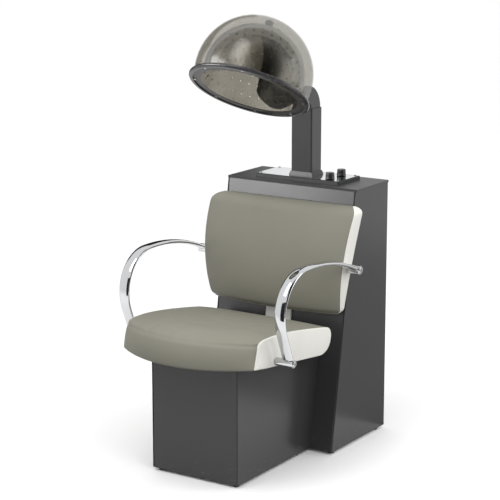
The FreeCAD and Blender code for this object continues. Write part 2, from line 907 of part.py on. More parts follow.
def slide_liners():
    """Four strips in the post's mouth that the hood arm slides on."""
    inner_x, inner_y = post_width / 2 - post_wall, post_depth / 2 - post_wall
    play_x = hood_arm_width / 2 + slide_clearance
    play_y = hood_arm_depth / 2 + slide_clearance
    z0, z1 = post_top - 95, post_top - 7
    side = box(play_x, inner_x, post_centre_y - 20, post_centre_y + 20, z0, z1)
    rear = box(-28, 28, post_centre_y + play_y, post_centre_y + inner_y, z0, z1)
    front = box(-28, 28, post_centre_y - inner_y, post_centre_y - play_y, z0, z1)
    rear = rear.cut(lock_hole(bolt_radius + 1))
    return Part.makeCompound([side, mirrored(side), rear, front])


def lock_screw():
    start = V(0, hood_arm_rear + 0.2, lock_level)
    return rod(bolt_radius, start, Y_AXIS, 26)


def lock_knob():
    """Lobed hand knob on the lock screw."""
    rear = post_centre_y + post_depth / 2 + 8.0
    body = rod(17.0, V(0, rear, lock_level), Y_AXIS, 15.0)
    for lobe in range(6):
        angle = math.radians(lobe * 60)
        centre = V(22 * math.cos(angle), rear - 1, lock_level + 22 * math.sin(angle))
        body = body.cut(rod(8.0, centre, Y_AXIS, 17))
    return body.cut(lock_screw())


def arm_ring(y0, y1, z):
    """Hollow rectangular face of the hood arm, flat at height z."""
    def loop(inset):
        x = hood_arm_width / 2 - inset
        corners = [V(-x, y0 + inset, z), V(x, y0 + inset, z), V(x, y1 - inset, z), V(-x, y1 - inset, z)]
        return Part.makePolygon(corners + corners[:1])
    hole = loop(hood_arm_wall)
    hole.reverse()
    return Part.Face([loop(0), hole])


def hood_arm():
    """Square tube that rises in the post, turns forward and ends in two ears for the hinge."""
    ring = arm_ring(hood_arm_rear - hood_arm_depth, hood_arm_rear, post_top)
    leg = ring.extrude(V(0, 0, hood_arm_foot - post_top))
    elbow = ring.revolve(V(0, bend_centre_y, post_top), X_AXIS, 90)
    low, high = hinge_z - hood_arm_depth / 2, hinge_z + hood_arm_depth / 2
    half = hood_arm_width / 2
    run_end = hinge_y + 14
    run = box(-half, half, run_end, bend_centre_y, low, high)
    wall = hood_arm_wall
    run = run.cut(box(wall - half, half - wall, run_end - 1, bend_centre_y + 1, low + wall, high - wall))
    ear = box(ear_inner_x, half, hinge_y, run_end, low, high)
    ear = ear.fuse(rod(hood_arm_depth / 2, V(ear_inner_x, hinge_y, hinge_z), X_AXIS, wall))
    body = join([leg, elbow, run, ear, mirrored(ear)])
    return body.cut(rod(hinge_pin_radius, V(-50, hinge_y, hinge_z), X_AXIS, 100))


def hinge_pin():
    """Through pin with a domed head at each end."""
    half = hood_arm_width / 2
    shank = rod(hinge_pin_radius, V(-half, hinge_y, hinge_z), X_AXIS, 2 * half)
    head = rod(9.0, V(half, hinge_y, hinge_z), X_AXIS, 4.0)
    head = head.makeFillet(2.5, [head.Edges[0]])
    return join([shank, head, mirrored(head)])


washer_thickness = 2.0


def hinge_washers():
    washer = tube(16.0, hinge_pin_radius, V(ear_inner_x - washer_thickness, hinge_y, hinge_z),
                  X_AXIS, washer_thickness)
    return both_sides(washer)


def make_hood_arm():
    parts["post"] = post()
    parts["post_collar"] = post_collar()
    parts["slide_liners"] = slide_liners()
    parts["lock_screw"] = lock_screw()
    parts["lock_knob"] = lock_knob()
    parts["hood_arm"] = hood_arm()
    parts["hinge_pin"] = hinge_pin()
    parts["hinge_washers"] = hinge_washers()


# ---- Hood ----

def revolve_profile(edges):
    """Turn a closed profile, drawn in the XZ plane with x as radius, about the Z axis."""
    return Part.Face(Part.Wire(edges)).revolve(ORIGIN, Z_AXIS, 360)


def ring_at(radius, z):
    return V(math.sqrt(radius ** 2 - z ** 2), 0, z)


def dome_arc(radius, low):
    """Arc from the pole of a sphere down to a level."""
    middle = V(radius * math.sin(0.7), 0, radius * math.cos(0.7))
    return Part.Arc(V(0, 0, radius), middle, low).toShape()


def neck_axis():
    """From the hood's centre towards the hinge."""
    return V(0, hinge_y, hinge_z).sub(hood_centre).normalize()


def neck_place(shape):
    """Place a shape drawn about the hinge, with +Z towards the hood's centre."""
    towards = neck_axis().negative()
    across = towards.cross(X_AXIS)
    turn = FreeCAD.Rotation(X_AXIS, across, towards, "XYZ")
    shape.Placement = FreeCAD.Placement(V(0, hinge_y, hinge_z), turn).multiply(shape.Placement)
    return shape


neck_half_x = 28.0
neck_half_y = 19.0
neck_wall = 2.5
hinge_to_centre = V(0, hinge_y, hinge_z).sub(hood_centre).Length
saddle_radius = 46.0
saddle_thickness = 4.0
plenum_outer = outer_radius - outer_wall - gap
spacer_radius = 13.0


def neck_duct(grow, z0, z1):
    return neck_place(box(-neck_half_x - grow, neck_half_x + grow, -neck_half_y - grow,
                          neck_half_y + grow, z0, z1))


def saddle_screws():
    """Four screws through the saddle and the outer shell into the plenum."""
    screws = []
    start = hinge_to_centre - outer_radius - saddle_thickness - 0.8
    for x in (-34, 34):
        for y in (-26, 26):
            screws.append(neck_place(small_screw(V(x, y, start), Z_AXIS)))
    return screws


def hood_neck():
    """Drum on the hinge, a short square duct and a saddle flange that fits the dome."""
    half = ear_inner_x - washer_thickness - running_clearance
    drum = rod(drum_radius, V(-half, hinge_y, hinge_z), X_AXIS, 2 * half)
    duct = neck_duct(0, 12, hinge_to_centre - plenum_outer + 1)
    saddle = Part.makeSphere(outer_radius + saddle_thickness + gap).cut(
        Part.makeSphere(outer_radius + gap))
    saddle.translate(hood_centre)
    saddle = saddle.common(neck_place(rod(saddle_radius, ORIGIN, Z_AXIS, 80)))
    body = join([drum, duct, saddle])
    bore = rod(drum_radius - neck_wall, V(neck_wall - half, hinge_y, hinge_z), X_AXIS,
               2 * (half - neck_wall))
    mouth = box(-26, 26, hinge_y + 4, hinge_y + 40, hinge_z - 19, hinge_z + 19)
    bushes = both_sides(rod(10.0, V(half - 12, hinge_y, hinge_z), X_AXIS, 12))
    body = drill(body, [bore, mouth, neck_duct(-neck_wall, 0, 90)])
    body = join([body, bushes])
    pin_hole = rod(hinge_pin_radius + running_clearance, V(-50, hinge_y, hinge_z), X_AXIS, 100)
    return drill(body, [pin_hole] + saddle_screws())


def plenum_prism(inset):
    """Rear outline of the plenum: round at the foot, tapering to the top."""
    wide, narrow = 74 - inset, 44 - inset
    foot, shoulder, head = -40 + inset, 60, 165 - inset
    a, b, c, d = V(-wide, 0, 5), V(wide, 0, 5), V(wide, 0, shoulder), V(narrow, 0, head)
    e, f = V(-narrow, 0, head), V(-wide, 0, shoulder)
    edges = [Part.Arc(a, V(0, 0, foot), b).toShape(), line(b, c), line(c, d), line(d, e),
             line(e, f), line(f, a)]
    return Part.Face(Part.Wire(edges)).extrude(V(0, 260, 0))


def inner_envelope(radius, foot):
    """Outside of the inner shell: a hemisphere on a straight skirt."""
    return Part.makeSphere(radius).fuse(rod(radius, V(0, 0, foot), Z_AXIS, -foot))


def air_plenum():
    """Dark housing between the shells that spreads the hot air from the neck."""
    solid = Part.makeSphere(plenum_outer).common(plenum_prism(0))
    cavity = Part.makeSphere(plenum_outer - 2).common(plenum_prism(2))
    body = solid.cut(cavity).cut(inner_envelope(inner_radius + gap, -70))
    body = on_hood(body)
    spacer_room = on_hood(rod(spacer_radius + 1, V(0, 0, 100), Z_AXIS, 100))
    return drill(body, [neck_duct(gap, 0, 90), spacer_room] + saddle_screws())


def outer_shell():
    """Smoked clear dome."""
    outer_foot = ring_at(outer_radius, rim_level)
    inner_foot = ring_at(outer_radius - outer_wall, rim_level)
    edges = [dome_arc(outer_radius, outer_foot), line(outer_foot, inner_foot),
             dome_arc(outer_radius - outer_wall, inner_foot),
             line(V(0, 0, outer_radius), V(0, 0, outer_radius - outer_wall))]
    shell = on_hood(revolve_profile(Part.__sortEdges__(edges)))
    apex = on_hood(rod(screw_radius, V(0, 0, 100), Z_AXIS, 120))
    return drill(shell, [neck_duct(gap, 0, 90), apex] + saddle_screws())


def perforations():
    """Radial holes in rings over the dome and its skirt, an even distance apart."""
    holes = []
    step = perforation_spacing / inner_radius
    rings = int(math.pi / 2 / step)
    for ring in range(1, rings + 1):
        polar = ring * step
        count = max(1, round(2 * math.pi * math.sin(polar) * inner_radius / perforation_spacing))
        for turn in range(count):
            around = 2 * math.pi * (turn + 0.5 * (ring % 2)) / count
            direction = V(math.sin(polar) * math.cos(around), math.sin(polar) * math.sin(around),
                          math.cos(polar))
            holes.append(rod(perforation_radius, V(direction).multiply(inner_radius - 8),
                             direction, 16))
    for turn in range(count):
        around = 2 * math.pi * (turn + 0.5 * ((rings + 1) % 2)) / count
        direction = V(math.cos(around), math.sin(around), 0)
        start = V(direction).multiply(inner_radius - 8).add(V(0, 0, -perforation_spacing + 8))
        holes.append(rod(perforation_radius, start, direction, 16))
    return Part.makeCompound(holes)


def inner_shell():
    """Perforated inner dome with a straight skirt and a flat flange at its foot."""
    outer, inner = inner_radius, inner_radius - inner_wall
    top = rim_level - ledge_thickness
    foot = top - inner_wall
    edges = [
        dome_arc(outer, V(outer, 0, 0)),
        line(V(outer, 0, 0), V(outer, 0, top)),
        line(V(outer, 0, top), V(flange_radius, 0, top)),
        line(V(flange_radius, 0, top), V(flange_radius, 0, foot)),
        line(V(flange_radius, 0, foot), V(inner, 0, foot)),
        line(V(inner, 0, foot), V(inner, 0, 0)),
        dome_arc(inner, V(inner, 0, 0)),
        line(V(0, 0, outer), V(0, 0, inner)),
    ]
    shell = revolve_profile(Part.__sortEdges__(edges)).cut(perforations())
    return drill(on_hood(shell), rim_screws() + apex_screws())


def rim_ring():
    """Dark moulded ring with a round outer edge and a ledge that carries both shells."""
    top = rim_level + 1.5
    foot = top - rim_height
    ledge_foot = rim_level - ledge_thickness
    wall = flange_radius + 0.2
    flat = rim_radius - rim_height / 2
    points = [V(flat, 0, foot), V(wall, 0, foot), V(wall, 0, ledge_foot),
              V(ledge_radius, 0, ledge_foot), V(ledge_radius, 0, rim_level),
              V(wall, 0, rim_level), V(wall, 0, top), V(flat, 0, top)]
    edges = [line(a, b) for a, b in zip(points, points[1:])]
    edges.append(Part.Arc(points[-1], V(rim_radius, 0, (top + foot) / 2), points[0]).toShape())
    return drill(on_hood(revolve_profile(edges)), rim_screws())


def rim_screws():
    """Up through the inner shell's flange into the ring's ledge."""
    screws = []
    foot = rim_level - ledge_thickness - inner_wall
    radius = (ledge_radius + flange_radius) / 2
    for turn in range(8):
        angle = math.radians(turn * 45 + 22.5)
        place = V(radius * math.cos(angle), radius * math.sin(angle), foot)
        screw = small_screw(place, Z_AXIS).common(box(-300, 300, -300, 300, -100, rim_level - 0.3))
        screws.append(on_hood(screw))
    return screws


def apex_screws():
    """From inside and outside into the spacer at the top of the domes."""
    inside = small_screw(V(0, 0, inner_radius - inner_wall - 0.2), Z_AXIS)
    outside = small_screw(V(0, 0, outer_radius + 0.2), DOWN)
    return [on_hood(inside), on_hood(outside)]


def apex_spacer():
    """Black spacer that holds the two domes apart at the top."""
    body = rod(spacer_radius, V(0, 0, inner_radius - 20), Z_AXIS, 60)
    body = body.common(Part.makeSphere(outer_radius - outer_wall - 0.1))
    body = body.cut(Part.makeSphere(inner_radius + 0.1))
    return drill(on_hood(body), apex_screws())


def make_hood():
    parts["hood_neck"] = hood_neck()
    parts["air_plenum"] = air_plenum()
    parts["outer_shell"] = outer_shell()
    parts["inner_shell"] = inner_shell()
    parts["rim_ring"] = rim_ring()
    parts["apex_spacer"] = apex_spacer()
    parts["hood_screws"] = Part.makeCompound(saddle_screws() + rim_screws() + apex_screws())


# ---- Blower and heater inside the cabinet ----

duct_half_x = 46.0
duct_half_y = 38.0
duct_foot = 700.0
scroll_wall = 1.5


def heater_housing():
    """Square duct from the blower up round the post's foot, closed by a collar plate."""
    y0, y1 = post_centre_y - duct_half_y, post_centre_y + duct_half_y
    top = post_foot + 16
    outer = box(-duct_half_x, duct_half_x, y0, y1, duct_foot, top)
    inner = box(sheet - duct_half_x, duct_half_x - sheet, y0 + sheet, y1 - sheet,
                duct_foot - 1, top - sheet)
    return drill(outer.cut(inner), [post_outline(top - 10, top + 1, 0)])


def heater_element():
    """Two serpentine tubular elements across the duct."""
    elements = []
    pitch, run_half, runs = 14.0, 28.0, 8
    for y in (-17, 17):
        edges = []
        for run in range(runs):
            z = duct_foot + 28 + run * pitch
            side = 1 if run % 2 == 0 else -1
            edges.append(line(V(-side * run_half, 0, z), V(side * run_half, 0, z)))
            if run < runs - 1:
                start, end = V(side * run_half, 0, z), V(side * run_half, 0, z + pitch)
                tip = V(side * (run_half + pitch / 2), 0, z + pitch / 2)
                edges.append(Part.Arc(start, tip, end).toShape())
        path = Part.Wire(edges)
        section = Part.Circle(V(-run_half, 0, duct_foot + 28), X_AXIS, 3.0).toShape()
        element = path.makePipeShell([Part.Wire(section)], True, False)
        element.translate(V(0, post_centre_y + y, 0))
        elements.append(element)
    return Part.makeCompound(elements)


def blower_housing():
    """Scroll casing with a throat up into the heater duct and a foot on the shelf."""
    y, z = blower_axis
    half = scroll_width / 2
    throat_y0, throat_y1 = post_centre_y - duct_half_y + sheet, y + scroll_radius

    def casing(inset, top):
        drum = rod(scroll_radius - inset, V(inset - half, y, z), X_AXIS, 2 * (half - inset))
        throat = box(inset - half, half - inset, throat_y0 + inset, throat_y1 - inset, z, top)
        return join([drum, throat])

    body = casing(0, duct_foot).cut(casing(scroll_wall, duct_foot + 5))
    intake = rod(46.0, V(half - 5, y, z), X_AXIS, 10)
    shaft_way = rod(14.0, V(-half - 5, y, z), X_AXIS, 10)
    base = box(-half, half, y - 26, y + 26, shelf_top, z - scroll_radius + 12)
    base = base.cut(rod(scroll_radius, V(-half - 1, y, z), X_AXIS, scroll_width + 2))
    flare = box(-duct_half_x, duct_half_x, post_centre_y - duct_half_y, post_centre_y + duct_half_y,
                duct_foot - scroll_wall, duct_foot)
    flare = flare.cut(box(scroll_wall - half, half - scroll_wall, throat_y0 + scroll_wall,
                          throat_y1 - scroll_wall, duct_foot - 5, duct_foot + 5))
    return join([body, base, flare]).cut(intake).cut(shaft_way)


rotor_radius = 4.0


def impeller():
    """Squirrel-cage wheel: a back disc, a ring of blades and a front ring."""
    y, z = blower_axis
    x0, x1 = -24.0, 24.0
    disc = rod(impeller_radius, V(x0, y, z), X_AXIS, 2.0)
    hub = rod(9.0, V(x0, y, z), X_AXIS, 16.0)
    ring = tube(impeller_radius, impeller_radius - 12, V(x1 - 2, y, z), X_AXIS, 2.0)
    pieces = [disc, hub, ring]
    for turn in range(impeller_blades):
        blade = box(x0 + 1, x1 - 1, impeller_radius - 11, impeller_radius - 1, -0.7, 0.7)
        blade.rotate(V(0, impeller_radius - 6, 0), X_AXIS, 35)
        blade.rotate(ORIGIN, X_AXIS, 360.0 * turn / impeller_blades)
        blade.translate(V(0, y, z))
        pieces.append(blade)
    return join(pieces).cut(rod(rotor_radius, V(x0 - 1, y, z), X_AXIS, 30))


motor_start = -102.0


def motor_case():
    """Can with end walls and bearing bores, on a flange against the scroll."""
    y, z = blower_axis
    end = -scroll_width / 2
    can = rod(42.0, V(motor_start, y, z), X_AXIS, end - motor_start - 4)
    inside = rod(40.0, V(motor_start + 3, y, z), X_AXIS, end - motor_start - 10)
    mount = rod(50.0, V(end - 4, y, z), X_AXIS, 4)
    stator = tube(40.0, 25.0, V(-86, y, z), X_AXIS, 32)
    bore = rod(rotor_radius + running_clearance, V(motor_start - 1, y, z), X_AXIS, 90)
    return join([can.cut(inside), mount, stator]).cut(bore)


def motor_rotor():
    """Rotor core on the shaft that carries the impeller."""
    y, z = blower_axis
    spindle = rod(rotor_radius, V(motor_start - 6, y, z), X_AXIS, -8 - motor_start + 6)
    core = rod(24.0, V(-86, y, z), X_AXIS, 32)
    return join([spindle, core])


def terminal_block():
    block = box(120, 180, 400, 424, shelf_top, shelf_top + 18)
    for pole in range(5):
        x = 127 + pole * 11.5
        block = block.cut(rod(3.0, V(x, 412, shelf_top + 10), Z_AXIS, 10))
    return block


def make_blower():
    parts["heater_housing"] = heater_housing()
    parts["heater_element"] = heater_element()
    parts["blower_housing"] = blower_housing()
    parts["impeller"] = impeller()
    parts["motor_case"] = motor_case()
    parts["motor_rotor"] = motor_rotor()
    parts["terminal_block"] = terminal_block()


make_cabinet()
make_leg_box()
make_seat()
make_back()
make_arms()
make_controls()
make_hood_arm()
make_hood()
make_blower()

os.makedirs("parts", exist_ok=True)
for name, shape in parts.items():
    shape.exportStep("parts/" + name + ".step")
    print(name, len(shape.Solids), round(shape.Volume / 1000, 1), shape.isValid())
whole = Part.makeCompound(list(parts.values())).BoundBox
print(len(parts), "nodes", whole)
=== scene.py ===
"""Looks of the salon dryer chair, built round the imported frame. Metres, +Z up, sitter faces -Y."""

import json
import math

import bmesh
import bpy
import numpy as np
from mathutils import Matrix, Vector

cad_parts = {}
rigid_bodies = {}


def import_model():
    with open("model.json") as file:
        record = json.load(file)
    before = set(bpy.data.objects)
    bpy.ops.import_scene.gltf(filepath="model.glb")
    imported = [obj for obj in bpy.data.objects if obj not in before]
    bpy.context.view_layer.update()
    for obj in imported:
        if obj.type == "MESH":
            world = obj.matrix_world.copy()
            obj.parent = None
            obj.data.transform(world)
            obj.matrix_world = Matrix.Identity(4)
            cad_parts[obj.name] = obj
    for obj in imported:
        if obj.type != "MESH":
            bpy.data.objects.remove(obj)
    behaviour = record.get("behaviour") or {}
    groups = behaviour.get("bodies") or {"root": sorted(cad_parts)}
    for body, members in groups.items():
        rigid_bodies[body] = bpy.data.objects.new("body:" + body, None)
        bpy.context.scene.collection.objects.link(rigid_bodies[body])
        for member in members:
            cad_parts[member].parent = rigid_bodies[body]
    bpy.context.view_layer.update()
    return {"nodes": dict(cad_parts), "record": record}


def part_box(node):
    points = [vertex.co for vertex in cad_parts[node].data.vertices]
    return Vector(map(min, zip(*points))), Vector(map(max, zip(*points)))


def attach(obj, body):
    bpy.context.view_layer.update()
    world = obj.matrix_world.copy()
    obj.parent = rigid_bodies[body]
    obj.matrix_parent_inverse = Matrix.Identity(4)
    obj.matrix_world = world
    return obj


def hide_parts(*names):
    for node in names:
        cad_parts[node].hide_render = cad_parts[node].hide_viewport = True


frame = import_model()
nodes = frame["nodes"]
MM = 0.001


# ---- Camera, light and floor ----

AZIMUTH = 33.094
ELEVATION = 12.616
CAMERA_DISTANCE = 5.746
CAMERA_LENS = 123.79
SENSOR_WIDTH = 36.0
LOOK_AT = Vector((-0.0512, 0.0666, 0.6747))
LIGHT_AIM = Vector((0, 0, 0.8))
WORLD_STRENGTH = 1.04
SHEETS_SEEN_THROUGH = 24
FLOOR_REACH = 60.0
BOUNCE_REACH = 6.0
BOUNCE_LEVEL = -0.01
BOUNCE_STRENGTH = 0.14


def direction(azimuth, elevation):
    """From the object towards a viewer at an azimuth and an elevation, in degrees."""
    a, e = math.radians(azimuth), math.radians(elevation)
    return Vector((math.sin(a) * math.cos(e), -math.cos(a) * math.cos(e), math.sin(e)))


def put_in_scene(name, data):
    new = bpy.data.objects.new(name, data)
    bpy.context.scene.collection.objects.link(new)
    return new


def stand_and_aim(thing, azimuth, elevation, distance, aim):
    """Stand a lamp or flag at an azimuth and elevation, in degrees, and turn it to a point."""
    thing.location = aim + direction(azimuth, elevation) * distance
    thing.rotation_mode = "QUATERNION"
    thing.rotation_quaternion = (aim - thing.location).to_track_quat("-Z", "Y")


def level_rectangle(name, half_x, half_y, level=0.0):
    mesh = bpy.data.meshes.new(name)
    corners = ((-1, -1), (1, -1), (1, 1), (-1, 1))
    mesh.from_pydata([(x * half_x, y * half_y, level) for x, y in corners], [], [(0, 1, 2, 3)])
    return mesh


def make_camera():
    data = bpy.data.cameras.new("camera")
    camera = put_in_scene("camera", data)
    back = direction(AZIMUTH, ELEVATION)
    camera.location = LOOK_AT + back * CAMERA_DISTANCE
    camera.rotation_mode = "QUATERNION"
    camera.rotation_quaternion = (-back).to_track_quat("-Z", "Y")
    data.lens = CAMERA_LENS
    data.sensor_width = SENSOR_WIDTH
    bpy.context.scene.camera = camera


def softbox(name, azimuth, elevation, distance, size, power, diffuse=True, glossy=True):
    """Rectangular studio light of a size in metres and a power in watts."""
    data = bpy.data.lights.new(name, "AREA")
    data.shape = "RECTANGLE"
    data.size, data.size_y = size
    data.energy = power
    lamp = put_in_scene(name, data)
    stand_and_aim(lamp, azimuth, elevation, distance, LIGHT_AIM)
    lamp.visible_diffuse = diffuse
    lamp.visible_glossy = glossy
    return lamp


def shade_from(lamp, slots):
    """Keep a lamp's light off everything with these finishes, as a small flag in a studio does."""
    chosen = {materials[slot].name for slot in slots}
    shaded = bpy.data.collections.new("shaded_from_" + lamp.name)
    for piece in bpy.context.scene.objects:
        if piece.type == "MESH" and piece.data.materials and piece.data.materials[0].name in chosen:
            shaded.objects.link(piece)
    for entry in shaded.collection_objects:
        entry.light_linking.link_state = "EXCLUDE"
    lamp.light_linking.receiver_collection = shaded


def dark_flag(name, azimuth, elevation, distance, size, aim=LIGHT_AIM, shade=0.01):
    """Dark studio flag that only shows as a band in chrome and gloss."""
    mesh = level_rectangle(name, size[0] / 2, size[1] / 2)
    material, _, shader = new_material(name)
    shader.inputs["Base Color"].default_value = (shade, shade, shade, 1)
    shader.inputs["Roughness"].default_value = 0.9
    mesh.materials.append(material)
    flag = put_in_scene(name, mesh)
    stand_and_aim(flag, azimuth, elevation, distance, aim)
    flag.visible_camera = False
    flag.visible_diffuse = False
    flag.visible_shadow = False
    flag.visible_transmission = False


def make_studio():
    """White world, softboxes and flags; hands back the strip light that gives paint its sheen."""
    world = bpy.data.worlds.new("studio")
    world.use_nodes = True
    world.node_tree.nodes["Background"].inputs["Color"].default_value = (1.0, 1.0, 1.0, 1)
    world.node_tree.nodes["Background"].inputs["Strength"].default_value = WORLD_STRENGTH
    bpy.context.scene.world = world
    bpy.context.scene.view_settings.view_transform = "Standard"
    bpy.context.scene.cycles.transparent_max_bounces = SHEETS_SEEN_THROUGH
    softbox("front_top", -12, 58, 3.4, (1.2, 2.2), 34)
    softbox("fill_right", 66, 30, 3.6, (2.0, 2.0), 32, glossy=False)
    strip = softbox("strip_left", -46, 17.5, 3.6, (2.2, 2.0), 150, diffuse=False)
    softbox("side_right", 118, 14, 3.6, (1.5, 2.2), 22)
    dark_flag("flag_front", 12, 0, 2.1, (1.8, 1.6))
    dark_flag("flag_front_right", 64, 28, 2.4, (2.3, 4.3))
    dark_flag("flag_left", -122, 5, 3.8, (3.6, 4.0))
    dark_flag("flag_floor", 0, -90, 4.99, (2.6, 2.6), Vector((1.35, 1.75, 5.0)), 0.35)
    return strip


def make_bounce_card():
    """Dim glow from below that only matt surfaces see, in place of the white floor's bounce."""
    mesh = level_rectangle("bounce_card", BOUNCE_REACH, BOUNCE_REACH, BOUNCE_LEVEL)
    material, _, shader = new_material("bounce_card")
    shader.inputs["Base Color"].default_value = (0, 0, 0, 1)
    shader.inputs["Emission Color"].default_value = (1, 1, 1, 1)
    shader.inputs["Emission Strength"].default_value = BOUNCE_STRENGTH
    mesh.materials.append(material)
    card = put_in_scene("bounce_card", mesh)
    card.visible_camera = False
    card.visible_glossy = False
    card.visible_shadow = False
    card.visible_transmission = False


def make_floor():
    mesh = level_rectangle("floor", FLOOR_REACH, FLOOR_REACH)
    material, tree, shader = new_material("floor_white")
    vary_colour(tree, shader, (0.96, 0.96, 0.96), (0.97, 0.97, 0.97), 1.5)
    shader.inputs["Roughness"].default_value = 0.8
    mesh.materials.append(material)
    floor = put_in_scene("floor", mesh)
    floor.visible_diffuse = False


# ---- Materials ----

def new_material(name):
    material = bpy.data.materials.new(name)
    material.use_nodes = True
    return material, material.node_tree, material.node_tree.nodes["Principled BSDF"]


def position(tree, stretch=(1, 1, 1)):
    """Object coordinates in metres, stretched for brushed or drawn finishes."""
    coordinates = tree.nodes.new("ShaderNodeTexCoord")
    mapping = tree.nodes.new("ShaderNodeMapping")
    mapping.inputs["Scale"].default_value = stretch
    tree.links.new(coordinates.outputs["Object"], mapping.inputs["Vector"])
    return mapping.outputs["Vector"]


def noise(tree, scale, detail=3.0, stretch=(1, 1, 1)):
    texture = tree.nodes.new("ShaderNodeTexNoise")
    texture.inputs["Scale"].default_value = scale
    texture.inputs["Detail"].default_value = detail
    tree.links.new(position(tree, stretch), texture.inputs["Vector"])
    return texture.outputs["Fac"]


def remap(tree, value, low, high, start=0.3, end=0.7):
    """Map a value that runs from start to end on to low to high."""
    node = tree.nodes.new("ShaderNodeMapRange")
    for name, number in (("From Min", start), ("From Max", end), ("To Min", low), ("To Max", high)):
        node.inputs[name].default_value = number
    tree.links.new(value, node.inputs["Value"])
    return node.outputs["Result"]


def blend_colour(tree, factor, first, second):
    """Mix two colours; each colour and the factor is a number or another node's output."""
    node = tree.nodes.new("ShaderNodeMix")
    node.data_type = "RGBA"
    for socket, colour in ((node.inputs[6], first), (node.inputs[7], second)):
        if isinstance(colour, tuple):
            socket.default_value = (*colour, 1)
        else:
            tree.links.new(colour, socket)
    if isinstance(factor, float):
        node.inputs["Factor"].default_value = factor
    else:
        tree.links.new(factor, node.inputs["Factor"])
    return node.outputs[2]


def arithmetic(tree, operation, *values):
    """Result of a math node; each value is a number or another node's output."""
    node = tree.nodes.new("ShaderNodeMath")
    node.operation = operation
    for socket, value in zip(node.inputs, values):
        if isinstance(value, float):
            socket.default_value = value
        else:
            tree.links.new(value, socket)
    return node.outputs["Value"]


def z_of(tree, vector):
    node = tree.nodes.new("ShaderNodeSeparateXYZ")
    tree.links.new(vector, node.inputs["Vector"])
    return node.outputs["Z"]


def facing_up(tree):
    """Z of the surface's normal: 1 where it faces up."""
    return z_of(tree, tree.nodes.new("ShaderNodeTexCoord").outputs["Normal"])


def mix_shaders(tree, factor, first, second):
    node = tree.nodes.new("ShaderNodeMixShader")
    for socket, output in zip(node.inputs, (factor, first, second)):
        tree.links.new(output, socket)
    return node.outputs["Shader"]


def vary_colour(tree, shader, first, second, scale):
    factor = remap(tree, noise(tree, scale), 0, 1)
    tree.links.new(blend_colour(tree, factor, first, second), shader.inputs["Base Color"])


def vary_roughness(tree, shader, low, high, scale):
    tree.links.new(remap(tree, noise(tree, scale), low, high), shader.inputs["Roughness"])


def bump(tree, shader, height, depth, strength=1.0, below=None):
    """Raise the surface by a height texture whose full range is depth metres."""
    node = tree.nodes.new("ShaderNodeBump")
    node.inputs["Strength"].default_value = strength
    node.inputs["Distance"].default_value = depth
    tree.links.new(height, node.inputs["Height"])
    if below is not None:
        tree.links.new(below, node.inputs["Normal"])
    tree.links.new(node.outputs["Normal"], shader.inputs["Normal"])
    return node.outputs["Normal"]


def darker(colour, share):
    return tuple(channel * share for channel in colour)


def powder_paint(name, colour, roughness):
    """Satin powder coat: fine orange peel, faint clouding, dust on top, scuffs near the floor."""
    material, tree, shader = new_material(name)
    clouds = remap(tree, noise(tree, 3.0), 0, 1, 0.2, 0.8)
    base = blend_colour(tree, clouds, darker(colour, 0.94), darker(colour, 1.06))
    near_floor = remap(tree, z_of(tree, position(tree)), 1, 0, 0.01, 0.09)
    scratches = remap(tree, noise(tree, 40.0, 6.0, (1, 1, 7)), 0, 0.6, 0.62, 0.72)
    scuffed = arithmetic(tree, "MULTIPLY", near_floor, scratches)
    pale = tuple(min(1.0, channel * 2.2 + 0.03) for channel in colour)
    tree.links.new(blend_colour(tree, scuffed, base, pale), shader.inputs["Base Color"])
    dust = remap(tree, facing_up(tree), 0, 1, 0.6, 0.95)
    clean = remap(tree, noise(tree, 9.0), roughness - 0.02, roughness + 0.02, 0.2, 0.8)
    dulled = arithmetic(tree, "MULTIPLY_ADD", dust, 0.12, clean)
    tree.links.new(dulled, shader.inputs["Roughness"])
    tree.links.new(remap(tree, dust, 0.38, 0.13, 0, 1), shader.inputs["Specular IOR Level"])
    bump(tree, shader, noise(tree, 900.0, 2.0), 0.00004, 0.4)
    return material


def vinyl(name, colour, roughness):
    """Upholstery vinyl: pebbled grain of two sizes, soft clouding and a low sheen."""
    material, tree, shader = new_material(name)
    clouds = remap(tree, noise(tree, 6.0), 0, 1)
    base = blend_colour(tree, clouds, darker(colour, 0.95), darker(colour, 1.05))
    cells = tree.nodes.new("ShaderNodeTexVoronoi")
    cells.inputs["Scale"].default_value = 620.0
    tree.links.new(position(tree), cells.inputs["Vector"])
    grain = remap(tree, cells.outputs["Distance"], 0, 1, 0.0, 0.7)
    toned = blend_colour(tree, grain, darker(colour, 1.03), darker(colour, 0.90))
    tree.links.new(blend_colour(tree, 0.5, base, toned), shader.inputs["Base Color"])
    vary_roughness(tree, shader, roughness - 0.04, roughness + 0.06, 25.0)
    creases = bump(tree, shader, noise(tree, 18.0, 2.0), 0.0012, 0.35)
    bump(tree, shader, cells.outputs["Distance"], 0.00012, 0.5, creases)
    shader.inputs["Specular IOR Level"].default_value = 0.14
    return material


def bright_metal(name, colour, roughness, scale=12.0):
    """Polished or plated metal with faint smears in its gloss."""
    material, tree, shader = new_material(name)
    vary_colour(tree, shader, darker(colour, 0.97), colour, scale)
    shader.inputs["Metallic"].default_value = 1.0
    vary_roughness(tree, shader, roughness, roughness * 1.6, scale * 2)
    bump(tree, shader, noise(tree, 14.0, 1.0), 0.0001, 0.15)
    return material


